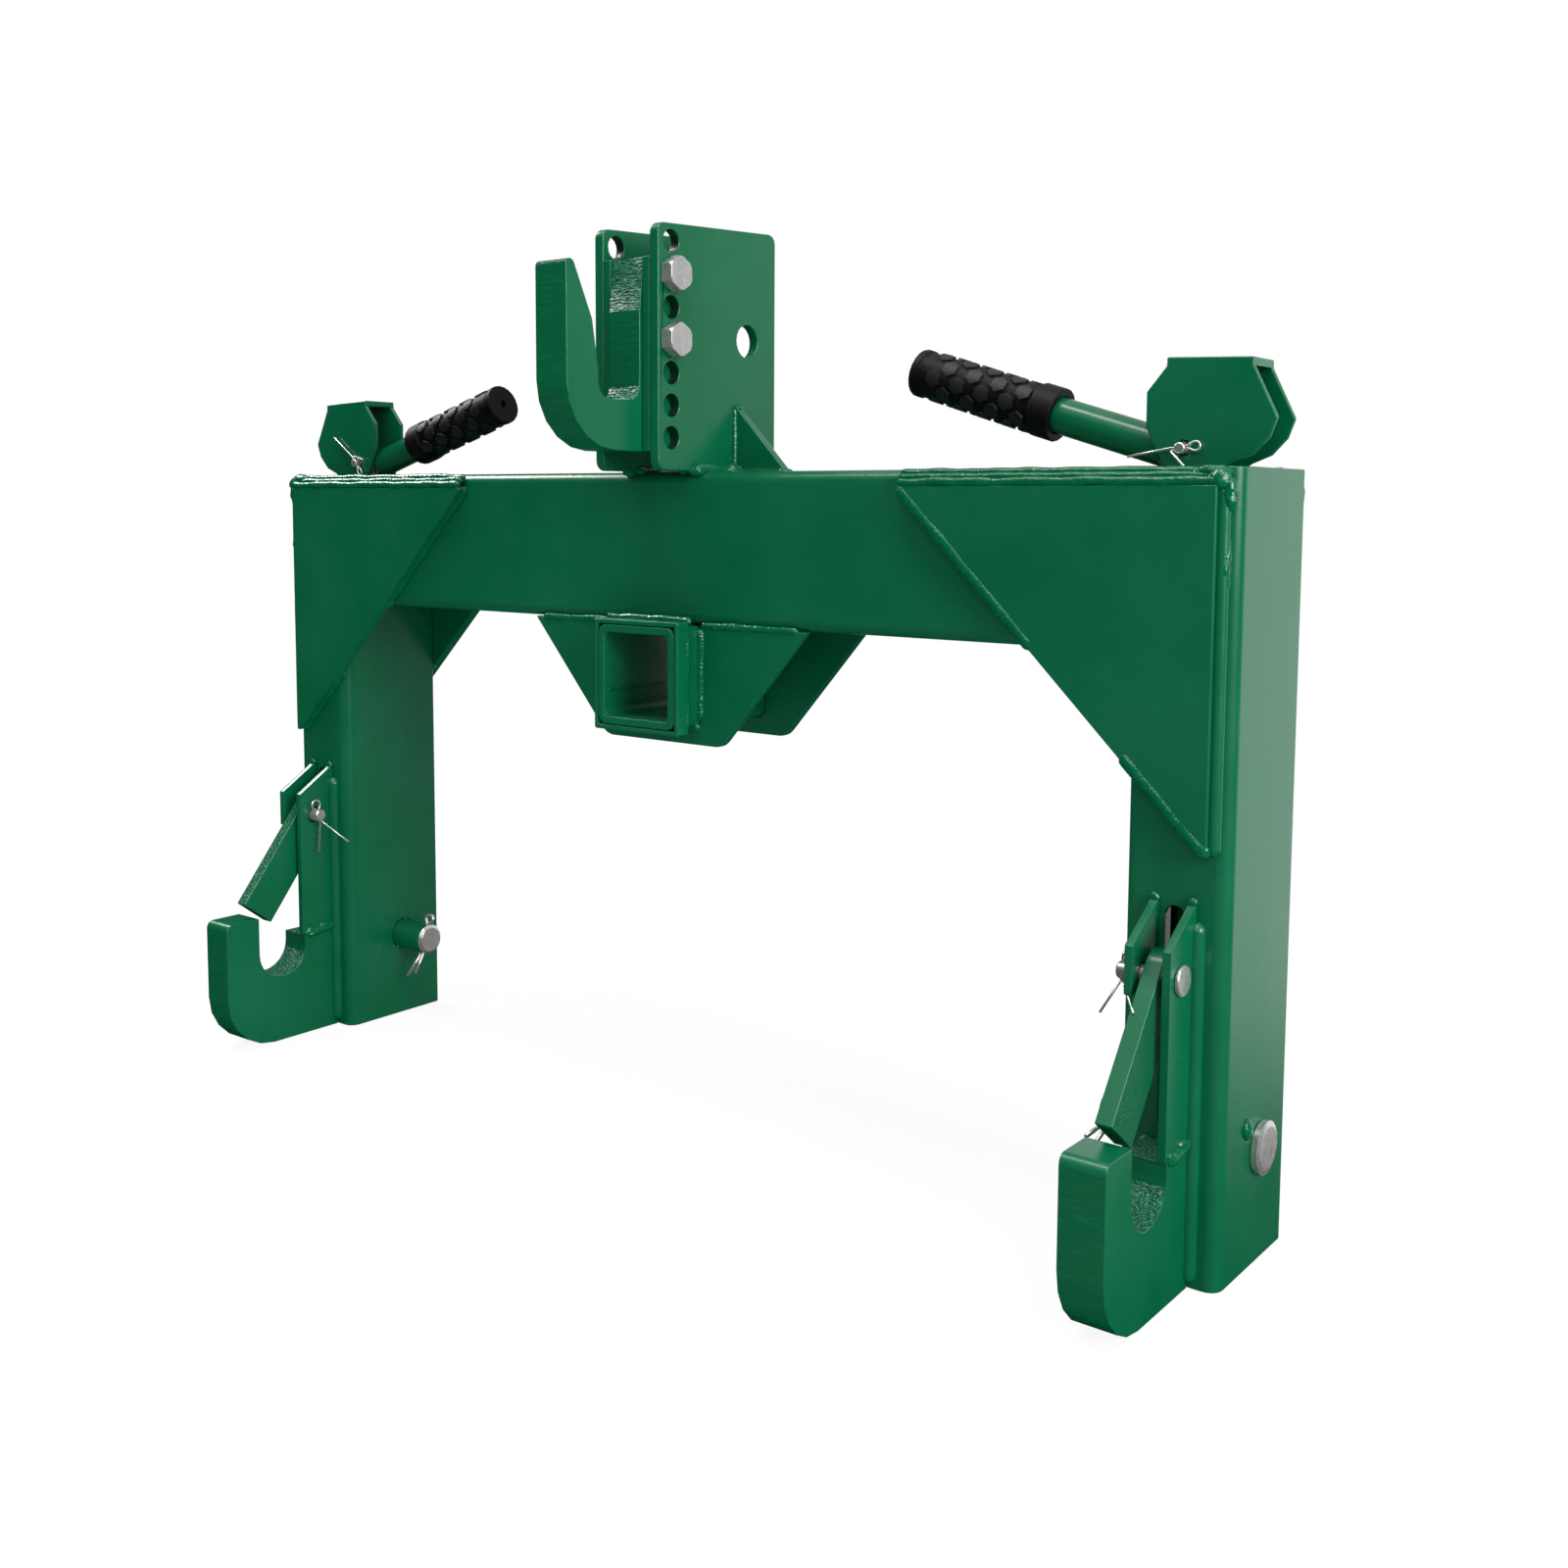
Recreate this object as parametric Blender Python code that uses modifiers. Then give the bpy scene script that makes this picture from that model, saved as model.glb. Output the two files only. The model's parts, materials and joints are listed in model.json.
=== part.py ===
"""Three point quick hitch: an A-frame coupler that hangs on a tractor's three point arms.

Metres, +Z up. X runs along the crossbar, the hooks face -Y and the tractor is on the +Y side.
The origin lies under the middle of the frame, level with the lower hooks' undersides.
"""
import math

import bmesh
import bpy
from mathutils import Vector

# Gap kept between pieces that touch or are welded together.
FIT = 0.0003

# Frame
HOOK_SPREAD = 0.6846
FRAME_DEPTH = 0.084
UPRIGHT_WIDTH = 0.0564
UPRIGHT_HEIGHT = 0.407
UPRIGHT_WALL = 0.005
UPRIGHT_CORNER = 0.008
CAP_THICK = 0.006
CAP_CORNER = 0.004
CROSSBAR_HEIGHT = 0.093
CROSSBAR_WALL = 0.005
CROSSBAR_CORNER = 0.007

# Corner gussets on the front and the back of the frame
GUSSET_THICK = 0.008
GUSSET_REACH = 0.184
GUSSET_HEIGHT = 0.181
GUSSET_INSET = 0.009
GUSSET_TIP = 0.003

# Receiver tube with its collar and the two plates that hang it under the crossbar
RECEIVER_WIDTH = 0.062
RECEIVER_WALL = 0.005
RECEIVER_CORNER = 0.006
RECEIVER_LENGTH = 0.119
RECEIVER_OVERHANG = 0.025
RECEIVER_PIN_HOLE = 0.0165
RECEIVER_PIN_SETBACK = 0.067
COLLAR_BAR = 0.0031
COLLAR_LENGTH = 0.0103
BRACKET_THICK = 0.005
BRACKET_TOP_WIDTH = 0.2234
BRACKET_FOOT_WIDTH = 0.0956
BRACKET_STRAP = 0.011
BRACKET_CORNER = 0.012
BRACKET_SPACING = 0.0635

# Mast plates for the top hook
MAST_GAP = 0.0374
MAST_THICK = 0.0068
MAST_DEPTH = 0.1112
MAST_OVERHANG = 0.0315
MAST_HEIGHT = 0.1439
MAST_TOP_RISE = 0.0063
MAST_CORNER = 0.006
MAST_ROW_SETBACK = 0.0118
MAST_ROW_BOTTOM = 0.0192
MAST_ROW_PITCH = 0.01913
MAST_ROW_COUNT = 7
MAST_HOLE = 0.0135
LINK_HOLE = 0.0202
LINK_HOLE_Y = 0.0516
LINK_HOLE_Z = 0.0813
RIB_THICK = 0.006
RIB_HEIGHT = 0.0397
RIB_FOOT = 0.0385
RIB_TIP = 0.0018

# Top hook, a flame cut hook between the mast plates
TOP_HOOK_THICK = 0.0246
TOP_HOOK_FRONT = 0.0935
TOP_HOOK_BACK = 0.006
TOP_HOOK_LIFT = 0.0114
TOP_HOOK_HEIGHT = 0.114
TOP_HOOK_TIP_DROP = 0.008
TOP_HOOK_TIP = 0.0058
TOP_HOOK_SHOULDER_DROP = 0.031
TOP_HOOK_SHOULDER = 0.0039
TOP_THROAT_WIDTH = 0.0346
TOP_THROAT_FRONT = 0.0333
TOP_THROAT_FLOOR = 0.0295
TOP_TAPER_DROP = 0.032
TOP_TAPER_SETBACK = 0.0152
TOP_HOOK_CORNER = 0.039
SPACER_WIDTH = 0.0235

# Bolts that hold the top hook in the row of holes
BOLT_SIZE = 0.012
BOLT_HEAD_ACROSS = 0.0185
BOLT_HEAD_THICK = 0.008
BOLT_END_SETBACK = 0.001
BOLT_ROWS = (4, 6)

# Lower hooks
LOWER_HOOK_THICK = 0.0246
LOWER_HOOK_REACH = 0.094
LOWER_HOOK_TIP_HEIGHT = 0.094
LOWER_HOOK_SHOULDER = 0.074
LOWER_THROAT_BACK = 0.028
LOWER_THROAT_WIDTH = 0.039
LOWER_THROAT_FLOOR = 0.0475
LOWER_HOOK_CORNER = 0.038

# Guard plates either side of each latch
GUARD_THICK = 0.0045
GUARD_REACH = 0.030
GUARD_FRONT_TOP = 0.1795
GUARD_KNEE_REACH = 0.006
GUARD_KNEE_TOP = 0.195
GUARD_BACK_TOP = 0.199
SHORT_GUARD_FOOT = 0.1545

# Latch: a bell crank on the latch pin, with its tail through the slot in the upright
LATCH_THICK = 0.0093
LATCH_PIN_Y = -0.018
LATCH_PIN_Z = 0.1633
LATCH_PIN_SIZE = 0.009
LATCH_PIN_HEAD = 0.0158
LATCH_PIN_HEAD_THICK = 0.002
LATCH_PIN_SPARE = 0.0085
GUARD_HOLE = 0.011
LATCH_ARM_ANGLE = 37.7
LATCH_ARM_LENGTH = 0.0807
LATCH_ARM_FRONT = 0.0079
LATCH_ARM_WIDTH = 0.0276
LATCH_HEAD_RADIUS = 0.0127
LATCH_TAIL_WIDTH = 0.021
LATCH_TAIL_PLAY = 0.0007
LATCH_SLOT_WIDTH = 0.0115
LATCH_SLOT_TOP = 0.195
LATCH_SLOT_FOOT = 0.077

# Lock rod: it stands beside the latch tail and is pushed down by the spring
ROD_INSET = 0.0143
ROD_Y = 0.040
ROD_SIZE = 0.010
ROD_LIFT = 0.041
ROD_TOP_SPARE = 0.0085
ROD_BOSS_SIZE = 0.014
ROD_BOSS_LENGTH = 0.020
ROD_COLLAR_SIZE = 0.014
ROD_COLLAR_THICK = 0.003
ROD_HOLE_PLAY = 0.0005
LINK_PIN_SIZE = 0.007
LINK_PIN_HEAD = 0.012
LINK_PIN_HEAD_THICK = 0.003
LINK_PIN_END_PLAY = 0.0005

# Spring and its washer
SPRING_LENGTH = 0.125
SPRING_MEAN = 0.0136
SPRING_WIRE = 0.0022
SPRING_TURNS = 8
SPRING_END_PITCH = 0.0026
SPRING_STEPS = 12
WASHER_SIZE = 0.0164
WASHER_THICK = 0.0016

# Lever: a bent plate cam on top of the rod, with a bar and a rubber grip
LEVER_FLAT_DROP = 0.0095
LEVER_PLATE = 0.0031
LEVER_STRIP = 0.0042
LEVER_FLAT_LENGTH = 0.024
LEVER_HEEL = 0.0100
LEVER_NOSE_REACH = 0.0487
LEVER_NOSE_HEIGHT = 0.0145
LEVER_TOP_HEIGHT = 0.0418
LEVER_TOP_REACH = 0.0361
LEVER_BACK_REACH = 0.0205
LEVER_BACK_TOP = 0.029
LEVER_BACK_FOOT = 0.011
LEVER_CREST = 0.0098
LEVER_CREST_DROP = 0.0018
LEVER_PIN_SIZE = 0.006
LEVER_PIN_PLAY = 0.001
LEVER_PIN_HEAD = 0.0105
LEVER_PIN_HEAD_THICK = 0.003
LEVER_PIN_SPARE = 0.0046
BAR_SIZE = 0.020
BAR_RISE = 16.7
BAR_DROP = 0.0036
BAR_START = 0.014
GRIP_START_LEFT = 0.0565
GRIP_START_RIGHT = 0.0784
GRIP_LENGTH = 0.093
GRIP_SIZE = 0.0257
GRIP_COLLAR_SIZE = 0.0295
GRIP_COLLAR_LENGTH = 0.0136
GRIP_FLANGE_SIZE = 0.0273
GRIP_FLANGE_LENGTH = 0.0045
GRIP_END_WALL = 0.004
GRIP_VENT = 0.005

# Draft pins for the tractor's lower arms
DRAFT_PIN_SIZE = 0.0222
DRAFT_PIN_Y = 0.0513
DRAFT_PIN_Z = 0.062
DRAFT_PIN_HEAD = 0.028
DRAFT_PIN_HEAD_THICK = 0.0047
DRAFT_PIN_REACH = 0.0314
DRAFT_PIN_CHAMFER = 0.002
DRAFT_COTTER_SETBACK = 0.0068

# Split pins
COTTER_WIRE = 0.0014
COTTER_SPREAD = 0.007
COTTER_LEG = 0.0155
COTTER_EYE = 0.0024
LEVER_COTTER_TURN_LEFT = 180.0
LEVER_COTTER_TURN_RIGHT = 90.0
DRAFT_COTTER_WIRE = 0.0021
DRAFT_COTTER_SPREAD = 0.0055
DRAFT_COTTER_LEG = 0.011
DRAFT_COTTER_EYE = 0.0037

# Facets
ROUND_SIDES = 20
HOLE_SIDES = 20
ROW_HOLE_SIDES = 16
CORNER_STEPS = 5

# Colours as linear values, with roughness and metallic
PAINT = ((0.004, 0.120, 0.048), 0.35, 0.0)
ZINC = ((0.55, 0.55, 0.54), 0.35, 1.0)
STEEL = ((0.30, 0.30, 0.31), 0.40, 1.0)
RUBBER = ((0.018, 0.018, 0.019), 0.75, 0.0)

# Places that several pieces share
HOOK_X = HOOK_SPREAD / 2
FRAME_TOP = UPRIGHT_HEIGHT + FIT + CAP_THICK
UPRIGHT_INNER_X = HOOK_X - UPRIGHT_WIDTH / 2
UPRIGHT_OUTER_X = HOOK_X + UPRIGHT_WIDTH / 2
CROSSBAR_FOOT = FRAME_TOP - CROSSBAR_HEIGHT
RECEIVER_Z = CROSSBAR_FOOT - FIT - RECEIVER_WIDTH / 2
MAST_FOOT = FRAME_TOP + FIT
MAST_INNER_X = MAST_GAP / 2
MAST_OUTER_X = MAST_INNER_X + MAST_THICK
MAST_ROW_Y = MAST_ROW_SETBACK - MAST_OVERHANG
GUARD_X = LOWER_HOOK_THICK / 2 - GUARD_THICK / 2
ROD_X = HOOK_X - ROD_INSET
LINK_RISE = ROD_LIFT / 2
LINK_SPAN = ROD_Y - LATCH_PIN_Y
LINK_Z = LATCH_PIN_Z - LINK_RISE
TAIL_ANGLE = math.degrees(math.atan2(LINK_RISE, LINK_SPAN))
TAIL_REACH = math.hypot(LINK_SPAN, LINK_RISE)
LEVER_PIN_Z = FRAME_TOP + FIT + LEVER_FLAT_DROP
LEVER_GAP = BAR_SIZE + 2 * FIT
LEVER_WIDTH = LEVER_GAP + 2 * LEVER_PLATE
SPRING_TOP = UPRIGHT_HEIGHT
WASHER_TOP = SPRING_TOP - FIT - SPRING_LENGTH - FIT
COLLAR_TOP = WASHER_TOP - WASHER_THICK - FIT

# Rotations that stand a flat outline up in its plane, and a turned piece along an axis
PLANE_XY = (0.0, 0.0, 0.0)
PLANE_XZ = (math.pi / 2, 0.0, 0.0)
PLANE_YZ = (math.pi / 2, 0.0, math.pi / 2)
ALONG_X = (0.0, math.pi / 2, 0.0)
AGAINST_X = (0.0, -math.pi / 2, 0.0)
ALONG_Y = (-math.pi / 2, 0.0, 0.0)


def clear_scene():
    """Remove the objects that the scene starts with."""
    for obj in list(bpy.data.objects):
        bpy.data.objects.remove(obj, do_unlink=True)


def make_collection(name):
    """Add a collection to the scene."""
    group = bpy.data.collections.new(name)
    bpy.context.scene.collection.children.link(group)
    return group


def make_material(name, look):
    """Make a Principled material for one piece."""
    colour, roughness, metallic = look
    material = bpy.data.materials.new(name)
    material.use_nodes = True
    shader = material.node_tree.nodes["Principled BSDF"]
    shader.inputs["Base Color"].default_value = (*colour, 1.0)
    shader.inputs["Roughness"].default_value = roughness
    shader.inputs["Metallic"].default_value = metallic
    material.diffuse_color = (*colour, 1.0)
    return material


def settle(obj, look, group, location, rotation, parent):
    """Link a piece to its collection, give it its material and put it in its place."""
    group.objects.link(obj)
    if look is not None:
        obj.data.materials.append(make_material(obj.name + "_finish", look))
    place = Vector(location)
    if parent is not None:
        obj.parent = parent
        place = place - parent.location
    obj.location = place
    obj.rotation_euler = rotation
    return obj


def pivot(name, location, group):
    """An empty on a joint's axis, which carries the pieces that move on it."""
    empty = bpy.data.objects.new(name, None)
    empty.empty_display_size = 0.03
    empty.location = location
    group.objects.link(empty)
    return empty


def arc(centre, radius, start, end, steps):
    """Points on an arc, with angles in degrees."""
    points = []
    for step in range(steps + 1):
        angle = math.radians(start + (end - start) * step / steps)
        points.append((centre[0] + radius * math.cos(angle), centre[1] + radius * math.sin(angle)))
    return points


def circle(centre, diameter, sides=HOLE_SIDES):
    """Points round a full circle."""
    return arc(centre, diameter / 2, 0.0, 360.0 * (sides - 1) / sides, sides - 1)


def stadium(start, end, width, steps=HOLE_SIDES // 2):
    """A slot with round ends between two centres."""
    heading = math.degrees(math.atan2(end[1] - start[1], end[0] - start[0]))
    points = arc(end, width / 2, heading - 90.0, heading + 90.0, steps)
    points += arc(start, width / 2, heading + 90.0, heading + 270.0, steps)
    return points


def rounded(corners, steps=CORNER_STEPS):
    """An outline from (x, y, radius) corners, each rounded by its own radius."""
    points = []
    count = len(corners)
    for index, (x, y, radius) in enumerate(corners):
        here = Vector((x, y))
        if radius <= 0.0:
            points.append((x, y))
            continue
        to_last = (Vector(corners[index - 1][:2]) - here).normalized()
        to_next = (Vector(corners[(index + 1) % count][:2]) - here).normalized()
        half = to_last.angle(to_next) / 2
        centre = here + (to_last + to_next).normalized() * (radius / math.sin(half))
        first = here + to_last * (radius / math.tan(half)) - centre
        last = here + to_next * (radius / math.tan(half)) - centre
        start = math.atan2(first.y, first.x)
        sweep = math.atan2(last.y, last.x) - start
        sweep = (sweep + math.pi) % (2 * math.pi) - math.pi
        for step in range(steps + 1):
            angle = start + sweep * step / steps
            points.append((centre.x + radius * math.cos(angle), centre.y + radius * math.sin(angle)))
    return points


def box_outline(width, height, radius, centre=(0.0, 0.0)):
    """A rectangle with four rounded corners."""
    right = centre[0] + width / 2
    left = centre[0] - width / 2
    top = centre[1] + height / 2
    foot = centre[1] - height / 2
    corners = [(left, foot, radius), (right, foot, radius), (right, top, radius), (left, top, radius)]
    return rounded(corners)


def mirrored(points, side):
    """The outline of the piece on the given side, from that of the right side."""
    return [(side * x, y) for x, y in points]


def crossing(point, along, other, other_along):
    """Where two lines cross, each given by a point and a direction."""
    cross = along[0] * other_along[1] - along[1] * other_along[0]
    gap_x = other[0] - point[0]
    gap_y = other[1] - point[1]
    reach = (gap_x * other_along[1] - gap_y * other_along[0]) / cross
    return (point[0] + along[0] * reach, point[1] + along[1] * reach)


def closed_mesh(outline):
    """The solid of an extruded outline, with its loose caps welded on, ready to be cut."""
    bpy.context.view_layer.update()
    evaluated = outline.evaluated_get(bpy.context.evaluated_depsgraph_get())
    mesh = bpy.data.meshes.new_from_object(evaluated)
    weld = bmesh.new()
    weld.from_mesh(mesh)
    bmesh.ops.remove_doubles(weld, verts=weld.verts, dist=0.000001)
    bmesh.ops.recalc_face_normals(weld, faces=weld.faces)
    weld.to_mesh(mesh)
    weld.free()
    return mesh


def flat_piece(name, loops, thickness, plane, location, group, look, parent=None):
    """A flat piece: its outline, with any holes in it, as a filled and extruded 2D curve."""
    curve = bpy.data.curves.new(name + "_outline", "CURVE")
    curve.dimensions = "2D"
    curve.fill_mode = "BOTH"
    curve.extrude = thickness / 2
    for loop in loops:
        spline = curve.splines.new("POLY")
        spline.points.add(len(loop) - 1)
        for point, (u, v) in zip(spline.points, loop):
            point.co = (u, v, 0.0, 1.0)
        spline.use_cyclic_u = True
    outline = bpy.data.objects.new(name + "_outline", curve)
    settle(outline, None, group, location, plane, parent)
    mesh = closed_mesh(outline)
    bpy.data.objects.remove(outline, do_unlink=True)
    mesh.name = name
    return settle(bpy.data.objects.new(name, mesh), look, group, location, plane, parent)


def wire_piece(name, points, diameter, location, rotation, group, look, parent=None, sides_level=2):
    """A wire bent along the given points."""
    curve = bpy.data.curves.new(name, "CURVE")
    curve.dimensions = "3D"
    curve.bevel_depth = diameter / 2
    curve.bevel_resolution = sides_level
    curve.use_fill_caps = True
    spline = curve.splines.new("POLY")
    spline.points.add(len(points) - 1)
    for point, place in zip(spline.points, points):
        point.co = (place[0], place[1], place[2], 1.0)
    obj = bpy.data.objects.new(name, curve)
    return settle(obj, look, group, location, rotation, parent)


def turned_piece(name, profile, location, rotation, group, look, parent=None, ring=False, sides=ROUND_SIDES):
    """A turned piece: a profile of (radius, height) from the top down, swept round Z."""
    mesh = bpy.data.meshes.new(name)
    frame = bmesh.new()
    verts = [frame.verts.new((radius, 0.0, height)) for radius, height in profile]
    for first, last in zip(verts, verts[1:]):
        frame.edges.new((first, last))
    if ring:
        frame.edges.new((verts[-1], verts[0]))
    frame.to_mesh(mesh)
    frame.free()
    obj = bpy.data.objects.new(name, mesh)
    settle(obj, look, group, location, rotation, parent)
    screw = obj.modifiers.new("Turn", "SCREW")
    screw.axis = "Z"
    screw.angle = 2 * math.pi
    screw.steps = sides
    screw.render_steps = sides
    screw.use_merge_vertices = True
    screw.merge_threshold = 0.00001
    screw.use_smooth_shade = True
    return obj


def as_cutter(obj):
    """Mark an object as a cutter, which is no part of the model."""
    obj.hide_render = True
    obj.display_type = "WIRE"
    return obj


def round_cutter(name, diameter, length, location, rotation, cutters):
    """A plain cylinder that drills a hole."""
    half = length / 2
    profile = [(0.0, half), (diameter / 2, half), (diameter / 2, -half), (0.0, -half)]
    return as_cutter(turned_piece(name, profile, location, rotation, cutters, None))


def flat_cutter(name, loop, thickness, plane, location, cutters):
    """An extruded outline that cuts a slot or a pocket."""
    return as_cutter(flat_piece(name, [loop], thickness, plane, location, cutters, None))


def combine(obj, other, operation):
    """Cut one solid from another, or join it on."""
    boolean = obj.modifiers.new(operation.title(), "BOOLEAN")
    boolean.operation = operation
    boolean.solver = "EXACT"
    boolean.object = other
    return obj


def upright(side, label, group, cutters):
    """A folded channel, open at the back, slotted in front for the latch."""
    half = UPRIGHT_WIDTH / 2
    inside = half - UPRIGHT_WALL
    inner_corner = UPRIGHT_CORNER - UPRIGHT_WALL
    outline = rounded([
        (-half, FRAME_DEPTH, 0.0),
        (-half, 0.0, UPRIGHT_CORNER),
        (half, 0.0, UPRIGHT_CORNER),
        (half, FRAME_DEPTH, 0.0),
        (inside, FRAME_DEPTH, 0.0),
        (inside, UPRIGHT_WALL, inner_corner),
        (-inside, UPRIGHT_WALL, inner_corner),
        (-inside, FRAME_DEPTH, 0.0),
    ])
    centre_x = side * HOOK_X
    channel = flat_piece("upright_" + label, [outline], UPRIGHT_HEIGHT, PLANE_XY,
                         (centre_x, 0.0, UPRIGHT_HEIGHT / 2), group, PAINT)
    slot = stadium((0.0, LATCH_SLOT_FOOT + LATCH_SLOT_WIDTH / 2),
                   (0.0, LATCH_SLOT_TOP - LATCH_SLOT_WIDTH / 2), LATCH_SLOT_WIDTH)
    slot_cutter = flat_cutter("cut_slot_" + label, slot, 4 * UPRIGHT_WALL, PLANE_XZ,
                              (centre_x, UPRIGHT_WALL / 2, 0.0), cutters)
    pin_cutter = round_cutter("cut_draft_" + label, DRAFT_PIN_SIZE + 2 * FIT, 2 * UPRIGHT_WIDTH,
                              (centre_x, DRAFT_PIN_Y, DRAFT_PIN_Z), ALONG_X, cutters)
    combine(channel, slot_cutter, "DIFFERENCE")
    combine(channel, pin_cutter, "DIFFERENCE")


def cap(side, label, group):
    """The plate that closes the upright's top, with the hole for the lock rod."""
    outline = box_outline(UPRIGHT_WIDTH, FRAME_DEPTH, CAP_CORNER, (0.0, FRAME_DEPTH / 2))
    hole = circle((-side * ROD_INSET, ROD_Y), ROD_SIZE + 2 * ROD_HOLE_PLAY)
    flat_piece("cap_" + label, [outline, hole], CAP_THICK, PLANE_XY,
               (side * HOOK_X, 0.0, UPRIGHT_HEIGHT + FIT + CAP_THICK / 2), group, PAINT)


def crossbar(group):
    """The rectangular tube between the uprights."""
    length = 2 * (UPRIGHT_INNER_X - FIT)
    outer = box_outline(FRAME_DEPTH, CROSSBAR_HEIGHT, CROSSBAR_CORNER)
    inner = box_outline(FRAME_DEPTH - 2 * CROSSBAR_WALL, CROSSBAR_HEIGHT - 2 * CROSSBAR_WALL,
                        CROSSBAR_CORNER - CROSSBAR_WALL)
    flat_piece("crossbar", [outer, inner], length, PLANE_YZ,
               (0.0, FRAME_DEPTH / 2, FRAME_TOP - CROSSBAR_HEIGHT / 2), group, PAINT)


def gusset(side, label, face, centre_y, group):
    """A triangular plate over the corner of crossbar and upright."""
    outer = UPRIGHT_OUTER_X - GUSSET_INSET
    top = FRAME_TOP - GUSSET_INSET
    inner = outer - GUSSET_REACH
    foot = top - GUSSET_HEIGHT
    outline = [
        (outer, top),
        (inner, top),
        (inner, top - GUSSET_TIP),
        (outer - GUSSET_TIP, foot),
        (outer, foot),
    ]
    flat_piece("gusset_" + face + "_" + label, [mirrored(outline, side)], GUSSET_THICK, PLANE_XZ,
               (0.0, centre_y, 0.0), group, PAINT)


def receiver(group, cutters):
    """The square tube that takes a drawbar, with its collar and its two hanger plates."""
    centre_y = RECEIVER_LENGTH / 2 - RECEIVER_OVERHANG
    outer = box_outline(RECEIVER_WIDTH, RECEIVER_WIDTH, RECEIVER_CORNER)
    bore = RECEIVER_WIDTH - 2 * RECEIVER_WALL
    inner = box_outline(bore, bore, RECEIVER_CORNER - RECEIVER_WALL)
    tube = flat_piece("receiver_tube", [outer, inner], RECEIVER_LENGTH, PLANE_XZ,
                      (0.0, centre_y, RECEIVER_Z), group, PAINT)
    pin_cutter = round_cutter("cut_receiver_pin", RECEIVER_PIN_HOLE, 2 * RECEIVER_WIDTH,
                              (0.0, RECEIVER_PIN_SETBACK - RECEIVER_OVERHANG, RECEIVER_Z), ALONG_X, cutters)
    combine(tube, pin_cutter, "DIFFERENCE")

    opening = RECEIVER_WIDTH + 2 * FIT
    around = opening + 2 * COLLAR_BAR
    collar_outer = box_outline(around, around, COLLAR_BAR / 2)
    collar_inner = box_outline(opening, opening, 0.0)
    flat_piece("receiver_collar", [collar_outer, collar_inner], COLLAR_LENGTH, PLANE_XZ,
               (0.0, COLLAR_LENGTH / 2 - RECEIVER_OVERHANG, RECEIVER_Z), group, PAINT)

    notch = opening / 2
    top = CROSSBAR_FOOT - FIT
    notch_foot = RECEIVER_Z - notch
    foot = notch_foot - BRACKET_STRAP
    notch_corner = RECEIVER_CORNER + FIT
    outline = rounded([
        (-BRACKET_TOP_WIDTH / 2, top, 0.0),
        (-BRACKET_FOOT_WIDTH / 2, foot, BRACKET_CORNER),
        (BRACKET_FOOT_WIDTH / 2, foot, BRACKET_CORNER),
        (BRACKET_TOP_WIDTH / 2, top, 0.0),
        (notch, top, 0.0),
        (notch, notch_foot, notch_corner),
        (-notch, notch_foot, notch_corner),
        (-notch, top, 0.0),
    ])
    for face, front in (("front", 0.0), ("rear", BRACKET_SPACING)):
        flat_piece("receiver_bracket_" + face, [outline], BRACKET_THICK, PLANE_XZ,
                   (0.0, front + BRACKET_THICK / 2, 0.0), group, PAINT)


def row_height(row):
    """Height of a hole in the mast plates' row, counted from the bottom."""
    return MAST_FOOT + MAST_ROW_BOTTOM + (row - 1) * MAST_ROW_PITCH


def mast_plate(side, label, group):
    """An upright plate with the row of bolt holes and the link pin hole."""
    front = -MAST_OVERHANG
    back = MAST_DEPTH - MAST_OVERHANG
    top = MAST_FOOT + MAST_HEIGHT
    outline = rounded([
        (front, MAST_FOOT, MAST_CORNER),
        (back, MAST_FOOT, 0.0),
        (back, top + MAST_TOP_RISE, MAST_CORNER),
        (front, top, MAST_CORNER),
    ])
    loops = [outline]
    for row in range(1, MAST_ROW_COUNT + 1):
        loops.append(circle((MAST_ROW_Y, row_height(row)), MAST_HOLE, ROW_HOLE_SIDES))
    loops.append(circle((LINK_HOLE_Y, MAST_FOOT + LINK_HOLE_Z), LINK_HOLE))
    centre = side * (MAST_INNER_X + MAST_THICK / 2)
    flat_piece("mast_plate_" + label, loops, MAST_THICK, PLANE_YZ, (centre, 0.0, 0.0), group, PAINT)

    inner = MAST_OUTER_X + FIT
    rib = [
        (inner, MAST_FOOT),
        (inner + RIB_FOOT, MAST_FOOT),
        (inner + RIB_FOOT, MAST_FOOT + RIB_TIP),
        (inner + RIB_TIP, MAST_FOOT + RIB_HEIGHT),
        (inner, MAST_FOOT + RIB_HEIGHT),
    ]
    flat_piece("mast_rib_" + label, [mirrored(rib, side)], RIB_THICK, PLANE_XZ,
               (0.0, FRAME_DEPTH / 2, 0.0), group, PAINT)


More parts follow.
